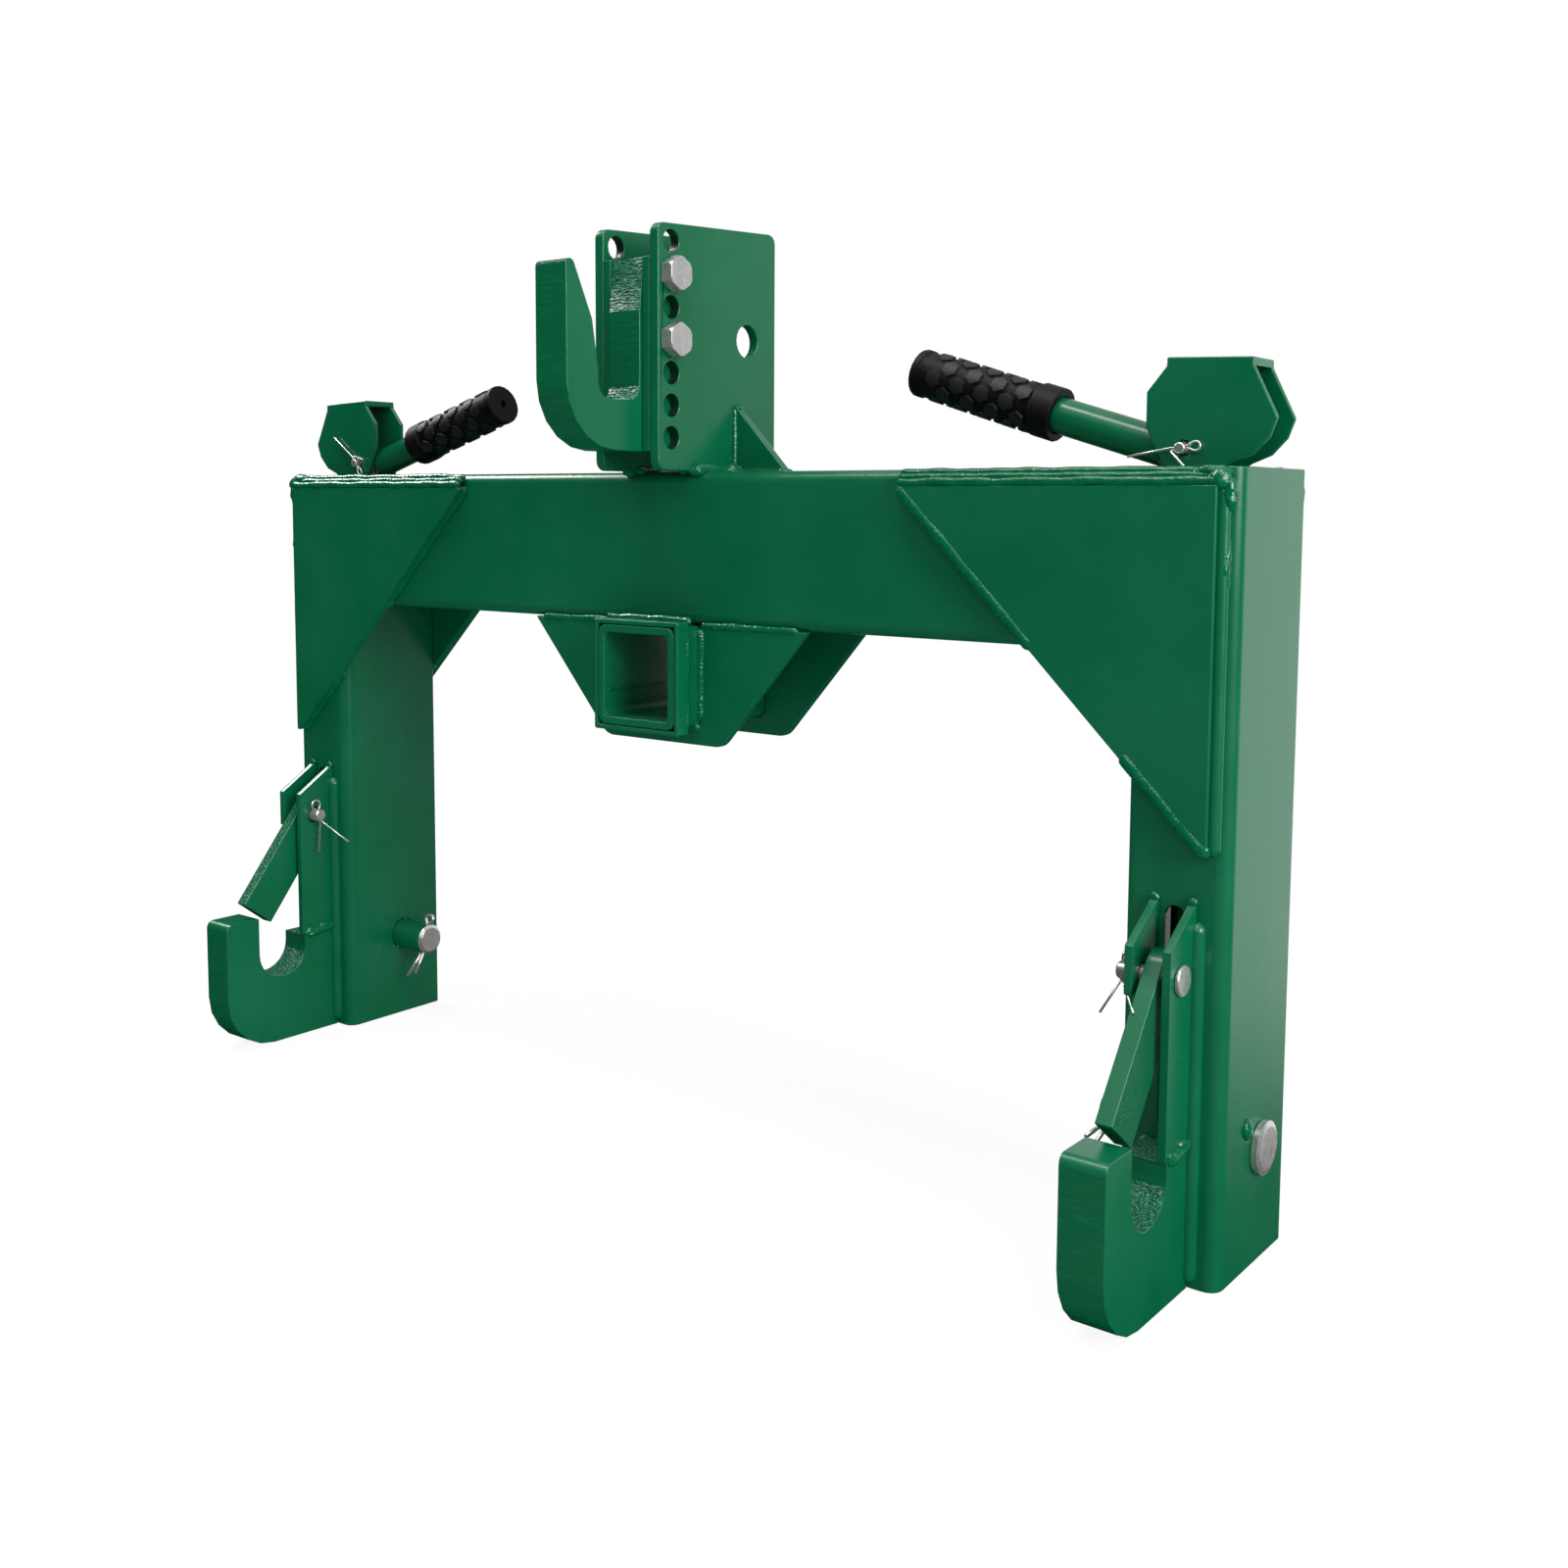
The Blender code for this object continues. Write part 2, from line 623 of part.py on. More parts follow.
def top_hook(group):
    """The top hook, a thick flame cut plate with a tapering tip."""
    foot = FRAME_TOP + TOP_HOOK_LIFT
    top = foot + TOP_HOOK_HEIGHT
    tip_top = top - TOP_HOOK_TIP_DROP
    throat_radius = TOP_THROAT_WIDTH / 2
    throat_y = -TOP_THROAT_FRONT - throat_radius
    throat_z = foot + TOP_THROAT_FLOOR + throat_radius
    tip_back = -TOP_HOOK_FRONT + TOP_HOOK_TIP
    outline = rounded([
        (tip_back, tip_top, 0.0),
        (-TOP_HOOK_FRONT, tip_top, 0.0),
        (-TOP_HOOK_FRONT, foot, TOP_HOOK_CORNER),
        (-TOP_HOOK_BACK, foot, 0.0),
        (-TOP_HOOK_BACK, top, 0.0),
        (-TOP_THROAT_FRONT + TOP_HOOK_SHOULDER, top, 0.0),
        (-TOP_THROAT_FRONT, top - TOP_HOOK_SHOULDER_DROP, 0.0),
    ])
    outline += arc((throat_y, throat_z), throat_radius, 0.0, -180.0, 12)
    outline.append((tip_back + TOP_TAPER_SETBACK, tip_top - TOP_TAPER_DROP))
    holes = [circle((MAST_ROW_Y, row_height(row)), MAST_HOLE, ROW_HOLE_SIDES) for row in BOLT_ROWS]
    flat_piece("top_hook", [outline] + holes, TOP_HOOK_THICK, PLANE_YZ, (0.0, 0.0, 0.0), group, PAINT)

    gap = MAST_INNER_X - TOP_HOOK_THICK / 2
    thickness = gap - 2 * FIT
    centre = TOP_HOOK_THICK / 2 + gap / 2
    spacer = box_outline(SPACER_WIDTH, TOP_HOOK_HEIGHT, 0.0, (MAST_ROW_Y, foot + TOP_HOOK_HEIGHT / 2))
    tapped = [circle((MAST_ROW_Y, row_height(row)), BOLT_SIZE + 2 * FIT) for row in BOLT_ROWS]
    for side, label, bores in ((-1, "left", tapped), (1, "right", holes)):
        flat_piece("top_hook_spacer_" + label, [spacer] + bores, thickness, PLANE_YZ,
                   (side * centre, 0.0, 0.0), group, PAINT)


def hexagon(centre, across):
    """Points of a hexagon that stands on a corner, from its width across flats."""
    radius = across / 2 / math.cos(math.pi / 6)
    return arc(centre, radius, 30.0, 330.0, 5)


def top_bolt(row, label, group, cutters):
    """A hexagon bolt through a mast plate and the top hook, screwed into the left spacer."""
    height = row_height(row)
    head_face = MAST_OUTER_X + FIT
    end = -MAST_OUTER_X + BOLT_END_SETBACK
    head = flat_piece("top_hook_bolt_" + label, [hexagon((MAST_ROW_Y, height), BOLT_HEAD_ACROSS)],
                      BOLT_HEAD_THICK, PLANE_YZ, (head_face + BOLT_HEAD_THICK / 2, 0.0, 0.0), group, ZINC)
    overlap = BOLT_HEAD_THICK / 2
    shank_length = head_face + overlap - end
    shank = round_cutter("join_shank_" + label, BOLT_SIZE, shank_length,
                         (end + shank_length / 2, MAST_ROW_Y, height), ALONG_X, cutters)
    combine(head, shank, "UNION")


def lower_hook(side, label, group):
    """A lower hook, welded to the front of its upright."""
    radius = LOWER_THROAT_WIDTH / 2
    throat = (-LOWER_THROAT_BACK - radius, LOWER_THROAT_FLOOR + radius)
    outline = rounded([
        (-LOWER_HOOK_REACH, LOWER_HOOK_TIP_HEIGHT, 0.0),
        (-LOWER_HOOK_REACH, 0.0, LOWER_HOOK_CORNER),
        (-FIT, 0.0, 0.0),
        (-FIT, LOWER_HOOK_SHOULDER, 0.0),
        (-LOWER_THROAT_BACK, LOWER_HOOK_SHOULDER, 0.0),
    ])
    outline += arc(throat, radius, 0.0, -180.0, 12)
    outline.append((-LOWER_THROAT_BACK - LOWER_THROAT_WIDTH, LOWER_HOOK_TIP_HEIGHT))
    flat_piece("lower_hook_" + label, [outline], LOWER_HOOK_THICK, PLANE_YZ,
               (side * HOOK_X, 0.0, 0.0), group, PAINT)


def latch_guard(side, label, offset, foot, group):
    """A plate beside the latch, which carries one end of the latch pin."""
    outline = [
        (-FIT, foot),
        (-FIT, GUARD_BACK_TOP),
        (-GUARD_KNEE_REACH, GUARD_KNEE_TOP),
        (-GUARD_REACH, GUARD_FRONT_TOP),
        (-GUARD_REACH, foot),
    ]
    hole = circle((LATCH_PIN_Y, LATCH_PIN_Z), GUARD_HOLE)
    flat_piece("latch_guard_" + label, [outline, hole], GUARD_THICK, PLANE_YZ,
               (side * HOOK_X + offset, 0.0, 0.0), group, PAINT)


def latch(side, label, group, pivot_empty):
    """The bell crank: arm over the throat, round head on the pin, tail through the slot."""
    arm_angle = math.radians(LATCH_ARM_ANGLE)
    tail_angle = math.radians(TAIL_ANGLE)
    arm = Vector((-math.sin(arm_angle), -math.cos(arm_angle)))
    ahead = Vector((-math.cos(arm_angle), math.sin(arm_angle)))
    tail = Vector((math.cos(tail_angle), -math.sin(tail_angle)))
    above = Vector((math.sin(tail_angle), math.cos(tail_angle)))
    behind = LATCH_ARM_WIDTH - LATCH_ARM_FRONT
    head = ahead * (LATCH_ARM_FRONT - LATCH_HEAD_RADIUS)
    head = head - arm * (head.y / arm.y)
    tip_front = arm * LATCH_ARM_LENGTH + ahead * LATCH_ARM_FRONT
    tip_back = arm * LATCH_ARM_LENGTH - ahead * behind
    link_inner = LINK_SPAN
    link_outer = TAIL_REACH
    tail_end = tail * ((link_inner + link_outer) / 2)
    tail_radius = LATCH_TAIL_WIDTH / 2
    tail_foot = tail_end - above * tail_radius
    armpit = crossing(tip_back, arm, tail_foot, tail)
    outline = [tuple(tip_front), tuple(tip_back), armpit]
    outline += arc(tail_end, tail_radius, -90.0 - TAIL_ANGLE, 90.0 - TAIL_ANGLE, 12)
    outline += arc(head, LATCH_HEAD_RADIUS, 90.0 - TAIL_ANGLE, 180.0 - LATCH_ARM_ANGLE, 8)
    bore = circle((0.0, 0.0), LATCH_PIN_SIZE + 2 * FIT)
    play = LINK_PIN_SIZE + 2 * LATCH_TAIL_PLAY
    slot_start = tail * (link_inner - FIT)
    slot_end = tail * (link_outer + FIT)
    slot = stadium(slot_start, slot_end, play)
    flat_piece("latch_" + label, [outline, bore, slot], LATCH_THICK, PLANE_YZ,
               (side * HOOK_X, LATCH_PIN_Y, LATCH_PIN_Z), group, PAINT, pivot_empty)


def cotter(name, pin_size, wire, spread, leg, eye, location, rotation, group, parent=None):
    """A split pin, bent from one wire: an eye, two legs through the hole, ends spread."""
    half = wire / 2
    apart = half + FIT / 2
    above = pin_size / 2 + wire
    below = -pin_size / 2 - half
    points = [
        (-spread, 0.0, below - leg),
        (-apart - spread * 0.25, 0.0, below - leg * 0.25),
        (-apart, 0.0, below),
        (-apart, 0.0, above),
    ]
    centre_z = above + math.sqrt(eye * eye - apart * apart)
    start = math.atan2(above - centre_z, -apart)
    end = math.atan2(above - centre_z, apart) - 2 * math.pi
    for step in range(1, 10):
        angle = start + (end - start) * step / 10
        points.append((eye * math.cos(angle), 0.0, centre_z + eye * math.sin(angle)))
    points += [(-x, y, z) for x, y, z in reversed(points[:4])]
    wire_piece(name, points, wire, location, rotation, group, ZINC, parent, 1)


def cotter_hole(wire):
    """Diameter of the cross hole that takes both legs of a split pin."""
    return 2 * (wire + FIT / 2 + FIT)


def latch_pin(side, label, group, cutters):
    """The latch's pivot, headed on the outer side and split pinned on the inner side."""
    half = LOWER_HOOK_THICK / 2
    radius = LATCH_PIN_SIZE / 2
    top = half + FIT + LATCH_PIN_HEAD_THICK
    foot = -half - LATCH_PIN_SPARE
    chamfer = LATCH_PIN_SIZE / 10
    profile = [
        (0.0, top),
        (LATCH_PIN_HEAD / 2, top),
        (LATCH_PIN_HEAD / 2, half + FIT),
        (radius, half + FIT),
        (radius, foot + chamfer),
        (radius - chamfer, foot),
        (0.0, foot),
    ]
    rotation = ALONG_X if side > 0 else AGAINST_X
    place = (side * HOOK_X, LATCH_PIN_Y, LATCH_PIN_Z)
    pin = turned_piece("latch_pin_" + label, profile, place, rotation, group, ZINC)
    hole_x = HOOK_X - half - (LATCH_PIN_SPARE + radius - chamfer) / 2
    hole = (side * hole_x, LATCH_PIN_Y, LATCH_PIN_Z)
    drill = round_cutter("cut_latch_pin_" + label, cotter_hole(COTTER_WIRE), 2 * LATCH_PIN_SIZE, hole,
                         (0.0, 0.0, 0.0), cutters)
    combine(pin, drill, "DIFFERENCE")
    cotter("latch_cotter_" + label, LATCH_PIN_SIZE, COTTER_WIRE, COTTER_SPREAD, COTTER_LEG, COTTER_EYE,
           hole, (0.0, 0.0, math.pi / 2), group)


def draft_pin(side, label, group, cutters):
    """The pin for the tractor's lower arm, through both flanges of the upright."""
    half = UPRIGHT_WIDTH / 2
    radius = DRAFT_PIN_SIZE / 2
    top = half + FIT + DRAFT_PIN_HEAD_THICK
    foot = -half - DRAFT_PIN_REACH
    edge = DRAFT_PIN_CHAMFER / 2
    profile = [
        (0.0, top),
        (DRAFT_PIN_HEAD / 2 - edge, top),
        (DRAFT_PIN_HEAD / 2, top - edge),
        (DRAFT_PIN_HEAD / 2, half + FIT),
        (radius, half + FIT),
        (radius, foot + DRAFT_PIN_CHAMFER),
        (radius - DRAFT_PIN_CHAMFER, foot),
        (0.0, foot),
    ]
    rotation = ALONG_X if side > 0 else AGAINST_X
    place = (side * HOOK_X, DRAFT_PIN_Y, DRAFT_PIN_Z)
    pin = turned_piece("draft_pin_" + label, profile, place, rotation, group, ZINC)
    hole_x = side * (UPRIGHT_INNER_X - DRAFT_PIN_REACH + DRAFT_COTTER_SETBACK)
    hole = (hole_x, DRAFT_PIN_Y, DRAFT_PIN_Z)
    drill = round_cutter("cut_draft_cotter_" + label, cotter_hole(DRAFT_COTTER_WIRE), 2 * DRAFT_PIN_SIZE,
                         hole, (0.0, 0.0, 0.0), cutters)
    combine(pin, drill, "DIFFERENCE")
    cotter("draft_cotter_" + label, DRAFT_PIN_SIZE, DRAFT_COTTER_WIRE, DRAFT_COTTER_SPREAD,
           DRAFT_COTTER_LEG, DRAFT_COTTER_EYE, hole, (0.0, 0.0, math.pi / 2), group)


def lock_rod(side, label, group, cutters, slide):
    """The rod from the lever down to the latch tail, with its spring collar and its boss."""
    radius = ROD_SIZE / 2
    top = LEVER_PIN_Z + ROD_TOP_SPARE
    boss_top = LINK_Z + ROD_BOSS_LENGTH / 2
    foot = LINK_Z - ROD_BOSS_LENGTH / 2
    chamfer = ROD_SIZE / 10
    profile = [
        (0.0, top),
        (radius - chamfer, top),
        (radius, top - chamfer),
        (radius, COLLAR_TOP),
        (ROD_COLLAR_SIZE / 2, COLLAR_TOP),
        (ROD_COLLAR_SIZE / 2, COLLAR_TOP - ROD_COLLAR_THICK),
        (radius, COLLAR_TOP - ROD_COLLAR_THICK),
        (radius, boss_top),
        (ROD_BOSS_SIZE / 2, boss_top),
        (ROD_BOSS_SIZE / 2, foot),
        (0.0, foot),
    ]
    profile = [(reach, height - LEVER_PIN_Z) for reach, height in profile]
    place = (side * ROD_X, ROD_Y, LEVER_PIN_Z)
    rod = turned_piece("lock_rod_" + label, profile, place, (0.0, 0.0, 0.0), group, STEEL, slide)
    lever_drill = round_cutter("cut_rod_top_" + label, LEVER_PIN_SIZE + 2 * FIT, 2 * ROD_SIZE,
                               place, ALONG_Y, cutters)
    link_drill = round_cutter("cut_rod_foot_" + label, LINK_PIN_SIZE + 2 * FIT, 2 * ROD_BOSS_SIZE,
                              (side * ROD_X, ROD_Y, LINK_Z), ALONG_X, cutters)
    combine(rod, lever_drill, "DIFFERENCE")
    combine(rod, link_drill, "DIFFERENCE")


def link_pin(side, label, group, slide):
    """The pin from the rod's boss into the slot of the latch tail."""
    radius = LINK_PIN_SIZE / 2
    inner = ROD_X - ROD_BOSS_SIZE / 2
    head_face = HOOK_X + LATCH_THICK / 2 + LINK_PIN_END_PLAY
    top = head_face + LINK_PIN_HEAD_THICK
    profile = [
        (0.0, top),
        (LINK_PIN_HEAD / 2, top),
        (LINK_PIN_HEAD / 2, head_face),
        (radius, head_face),
        (radius, inner),
        (0.0, inner),
    ]
    profile = [(reach, height - ROD_X) for reach, height in profile]
    rotation = ALONG_X if side > 0 else AGAINST_X
    turned_piece("link_pin_" + label, profile, (side * ROD_X, ROD_Y, LINK_Z), rotation, group, STEEL, slide)


def rod_spring(side, label, group, slide):
    """The spring round the rod, between the cap's underside and the washer on the collar."""
    radius = SPRING_MEAN / 2
    half = SPRING_WIRE / 2
    low = half
    high = SPRING_LENGTH - half
    middle_turns = SPRING_TURNS - 2
    points = []
    for step in range(SPRING_TURNS * SPRING_STEPS + 1):
        turn = step / SPRING_STEPS
        angle = 2 * math.pi * turn
        rise_low = min(turn, 1.0) * SPRING_END_PITCH
        rise_high = max(turn - 1.0 - middle_turns, 0.0) * SPRING_END_PITCH
        middle = high - low - 2 * SPRING_END_PITCH
        rise_middle = min(max(turn - 1.0, 0.0), middle_turns) / middle_turns * middle
        height = low + rise_low + rise_middle + rise_high - SPRING_LENGTH
        points.append((radius * math.cos(angle), side * radius * math.sin(angle), height))
    wire_piece("spring_" + label, points, SPRING_WIRE, (side * ROD_X, ROD_Y, SPRING_TOP - FIT),
               (0.0, 0.0, 0.0), group, STEEL, slide)

    ring = [
        (WASHER_SIZE / 2, 0.0),
        (WASHER_SIZE / 2, -WASHER_THICK),
        (ROD_SIZE / 2 + FIT, -WASHER_THICK),
        (ROD_SIZE / 2 + FIT, 0.0),
    ]
    turned_piece("spring_washer_" + label, ring, (side * ROD_X, ROD_Y, WASHER_TOP), (0.0, 0.0, 0.0),
                 group, ZINC, slide, True)


def lever_outline():
    """Side view of the right lever's head, from its pin: flat, rolling cam edge, nose and crest."""
    return [
        (-LEVER_HEEL, -LEVER_FLAT_DROP),
        (LEVER_FLAT_LENGTH, -LEVER_FLAT_DROP),
        (0.0265, -0.0077),
        (0.0370, -0.0035),
        (0.0450, 0.0048),
        (LEVER_NOSE_REACH, LEVER_NOSE_HEIGHT),
        (LEVER_TOP_REACH, LEVER_TOP_HEIGHT - LEVER_CREST_DROP),
        (LEVER_TOP_REACH, LEVER_TOP_HEIGHT - LEVER_CREST_DROP + LEVER_STRIP),
        (-LEVER_CREST, LEVER_TOP_HEIGHT + LEVER_STRIP),
        (-LEVER_CREST, LEVER_TOP_HEIGHT),
        (-LEVER_BACK_REACH, LEVER_BACK_TOP),
        (-LEVER_BACK_REACH, LEVER_BACK_FOOT),
    ]


def lever_pocket():
    """The space between the lever's two plates, under the strip that joins them."""
    crest = Vector((-LEVER_CREST, LEVER_TOP_HEIGHT))
    front = Vector((LEVER_TOP_REACH, LEVER_TOP_HEIGHT - LEVER_CREST_DROP))
    run = (front - crest).normalized()
    beyond = 2 * LEVER_NOSE_REACH
    start = crest - run * beyond
    end = front + run * beyond
    floor = -2 * LEVER_FLAT_DROP - LEVER_STRIP
    return [(start.x, floor), (end.x, floor), tuple(end), tuple(start)]


def lever(side, label, group, cutters, hinge):
    """The lever: cam head, handle bar, rubber grip and the pin that it turns on."""
    place = (side * ROD_X, ROD_Y, LEVER_PIN_Z)
    hole = circle((0.0, 0.0), LEVER_PIN_SIZE + 2 * LEVER_PIN_PLAY)
    loops = [mirrored(lever_outline(), side), hole]
    head = flat_piece("lever_head_" + label, loops, LEVER_WIDTH, PLANE_XZ, place, group, PAINT, hinge)
    pocket = flat_cutter("cut_lever_" + label, mirrored(lever_pocket(), side), LEVER_GAP, PLANE_XZ,
                         place, cutters)
    combine(head, pocket, "DIFFERENCE")

    rise = math.radians(BAR_RISE)
    along = Vector((-side * math.cos(rise), 0.0, math.sin(rise)))
    down = Vector((-side * math.sin(rise), 0.0, -math.cos(rise)))
    foot = Vector(place) + down * BAR_DROP
    turn = (0.0, -side * (math.pi / 2 - rise), 0.0)
    grip_start = GRIP_START_RIGHT if side > 0 else GRIP_START_LEFT
    grip_end = grip_start + GRIP_LENGTH
    bar_end = grip_end - GRIP_END_WALL - FIT
    bar = [(0.0, bar_end - BAR_START), (BAR_SIZE / 2, bar_end - BAR_START), (BAR_SIZE / 2, 0.0), (0.0, 0.0)]
    turned_piece("lever_bar_" + label, bar, foot + along * BAR_START, turn, group, PAINT, hinge)

    bore = BAR_SIZE / 2 + FIT
    grip = [
        (GRIP_FLANGE_SIZE / 2, GRIP_LENGTH),
        (GRIP_FLANGE_SIZE / 2, GRIP_LENGTH - GRIP_FLANGE_LENGTH),
        (GRIP_SIZE / 2, GRIP_LENGTH - GRIP_FLANGE_LENGTH),
        (GRIP_SIZE / 2, GRIP_COLLAR_LENGTH),
        (GRIP_COLLAR_SIZE / 2, GRIP_COLLAR_LENGTH),
        (GRIP_COLLAR_SIZE / 2, 0.0),
        (bore, 0.0),
        (bore, GRIP_LENGTH - GRIP_END_WALL),
        (GRIP_VENT / 2, GRIP_LENGTH - GRIP_END_WALL),
        (GRIP_VENT / 2, GRIP_LENGTH),
    ]
    turned_piece("lever_grip_" + label, grip, foot + along * grip_start, turn, group, RUBBER, hinge, True)

    half = LEVER_WIDTH / 2
    radius = LEVER_PIN_SIZE / 2
    top = half + FIT + LEVER_PIN_HEAD_THICK
    end = -half - LEVER_PIN_SPARE
    chamfer = LEVER_PIN_SIZE / 10
    pin_profile = [
        (0.0, top),
        (LEVER_PIN_HEAD / 2, top),
        (LEVER_PIN_HEAD / 2, half + FIT),
        (radius, half + FIT),
        (radius, end + chamfer),
        (radius - chamfer, end),
        (0.0, end),
    ]
    pin = turned_piece("lever_pin_" + label, pin_profile, place, ALONG_Y, group, ZINC, hinge)
    cross = (place[0], ROD_Y - half - (LEVER_PIN_SPARE - chamfer) / 2, place[2])
    turn = (0.0, math.radians(LEVER_COTTER_TURN_RIGHT if side > 0 else LEVER_COTTER_TURN_LEFT), 0.0)
    drill = round_cutter("cut_lever_pin_" + label, cotter_hole(COTTER_WIRE), 2 * LEVER_PIN_SIZE, cross,
                         turn, cutters)
    combine(pin, drill, "DIFFERENCE")
    cotter("lever_cotter_" + label, LEVER_PIN_SIZE, COTTER_WIRE, COTTER_SPREAD, COTTER_LEG, COTTER_EYE,
           cross, turn, group, hinge)


def build():
    """Build the hitch."""
    clear_scene()
    group = make_collection("three_point_quick_hitch")
    cutters = make_collection("cutters")
    crossbar(group)
    receiver(group, cutters)
    top_hook(group)
    for row, label in zip(BOLT_ROWS, ("lower", "upper")):
        top_bolt(row, label, group, cutters)
    for side, label in ((-1, "left"), (1, "right")):
        upright(side, label, group, cutters)
        cap(side, label, group)
        gusset(side, label, "front", -FIT - GUSSET_THICK / 2, group)
        gusset(side, label, "rear", FRAME_DEPTH + FIT + GUSSET_THICK / 2, group)
        mast_plate(side, label, group)
        lower_hook(side, label, group)
        latch_pin(side, label, group, cutters)
        draft_pin(side, label, group, cutters)
        latch_guard(side, label + "_long", GUARD_X, LOWER_HOOK_SHOULDER + FIT, group)
        latch_guard(side, label + "_short", -GUARD_X, SHORT_GUARD_FOOT, group)
        latch_axis = pivot("latch_axis_" + label, (side * HOOK_X, LATCH_PIN_Y, LATCH_PIN_Z), group)
        latch(side, label, group, latch_axis)
        slide = pivot("rod_slide_" + label, (side * ROD_X, ROD_Y, LINK_Z), group)
        lock_rod(side, label, group, cutters, slide)
        link_pin(side, label, group, slide)
        rod_spring(side, label, group, slide)
        hinge = pivot("lever_axis_" + label, (side * ROD_X, ROD_Y, LEVER_PIN_Z), group)
        lever(side, label, group, cutters, hinge)


if __name__ == "__main__":
    build()
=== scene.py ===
"""Looks of the three point quick hitch: enamel, welds, bright fasteners, rubber grips, camera and light."""

import json
import math

import bmesh
import bpy
from bpy.props import FloatProperty, FloatVectorProperty, IntProperty, PointerProperty
from mathutils import Matrix, Vector, noise

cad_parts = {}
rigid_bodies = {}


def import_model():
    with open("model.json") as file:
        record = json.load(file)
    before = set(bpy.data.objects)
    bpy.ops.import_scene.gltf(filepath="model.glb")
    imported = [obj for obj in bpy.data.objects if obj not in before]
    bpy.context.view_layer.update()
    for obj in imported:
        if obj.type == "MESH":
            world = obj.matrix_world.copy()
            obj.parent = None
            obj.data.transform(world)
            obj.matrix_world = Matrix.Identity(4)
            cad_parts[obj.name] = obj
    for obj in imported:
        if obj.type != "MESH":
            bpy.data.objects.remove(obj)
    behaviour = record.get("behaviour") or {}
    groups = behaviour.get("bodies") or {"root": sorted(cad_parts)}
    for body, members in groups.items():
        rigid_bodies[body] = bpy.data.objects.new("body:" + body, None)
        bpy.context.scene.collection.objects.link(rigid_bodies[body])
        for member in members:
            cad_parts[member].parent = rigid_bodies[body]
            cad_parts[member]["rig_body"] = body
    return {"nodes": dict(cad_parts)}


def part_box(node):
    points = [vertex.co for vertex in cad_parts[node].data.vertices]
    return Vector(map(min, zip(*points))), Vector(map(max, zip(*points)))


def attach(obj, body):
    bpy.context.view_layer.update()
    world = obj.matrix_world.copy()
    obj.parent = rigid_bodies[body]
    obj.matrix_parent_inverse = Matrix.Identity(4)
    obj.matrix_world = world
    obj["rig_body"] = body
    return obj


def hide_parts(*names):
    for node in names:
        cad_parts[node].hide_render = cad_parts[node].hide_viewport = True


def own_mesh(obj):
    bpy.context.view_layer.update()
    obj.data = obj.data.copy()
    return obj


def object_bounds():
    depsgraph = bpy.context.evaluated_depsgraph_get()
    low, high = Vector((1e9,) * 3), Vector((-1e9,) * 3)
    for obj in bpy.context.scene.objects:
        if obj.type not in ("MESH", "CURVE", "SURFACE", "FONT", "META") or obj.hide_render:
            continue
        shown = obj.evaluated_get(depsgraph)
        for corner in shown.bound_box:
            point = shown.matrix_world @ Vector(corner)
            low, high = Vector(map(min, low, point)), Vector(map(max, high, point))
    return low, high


bl_info = {
    "name": "Three Point Quick Hitch",
    "version": (1, 0, 0),
    "blender": (4, 5, 0),
    "location": "3D View > Sidebar > Quick Hitch",
    "description": "Paints, welds, fastens and lights a three point quick hitch",
    "category": "Object",
}

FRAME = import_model()
CAD_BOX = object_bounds()
FRAME_LOW, FRAME_HIGH = CAD_BOX

SIDES = ((-1, "left"), (1, "right"))
X_AXIS = Vector((1.0, 0.0, 0.0))
Y_AXIS = Vector((0.0, 1.0, 0.0))
Z_AXIS = Vector((0.0, 0.0, 1.0))
WHITE = (1.0, 1.0, 1.0, 1.0)
GREEN = ("green_enamel",)

ONE_VERTEX = 0.000002  # vertices closer than this are one
IN_FACE = 0.00005  # a vertex this close to a face lies in it
IN_PLACE = 0.0005  # an edge this close to a place is the edge meant
FLAT_ANGLE = math.radians(0.5)  # faces that meet flatter than this are one
EDGE_ANGLE = math.radians(31.0)  # edges sharper than this are rounded
PAD_ROOT = 0.0006  # how deep a pad's foot sits in its grip


def low(node):
    """Lowest corner of a solid."""
    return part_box(node)[0]


def high(node):
    """Highest corner of a solid."""
    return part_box(node)[1]


def outer_x(node, side):
    """X of a solid's end towards a side, -1 for the left and 1 for the right."""
    return high(node).x if side > 0 else low(node).x


def inner_x(node, side):
    """X of a solid's end away from a side."""
    return outer_x(node, -side)


# ---- settings ----


def metres(name, description, default):
    """A length that can be set."""
    return FloatProperty(name=name, description=description, default=default, unit="LENGTH")


def degrees(name, description, default):
    """An angle that can be set."""
    return FloatProperty(name=name, description=description, default=math.radians(default),
                         subtype="ANGLE", unit="ROTATION")


def fraction(name, description, default, least=0.0):
    """A share of 1 that can be set."""
    return FloatProperty(name=name, description=description, default=default, min=least, max=1.0,
                         subtype="FACTOR")


def strength(name, description, default):
    """A strength of light that can be set."""
    return FloatProperty(name=name, description=description, default=default, min=0.0)


def whole(name, description, default, least, most):
    """A whole number that can be set."""
    return IntProperty(name=name, description=description, default=default, min=least, max=most)


def tint(name, description, default):
    """A colour that can be set."""
    return FloatVectorProperty(name=name, description=description, subtype="COLOR", size=3, default=default)


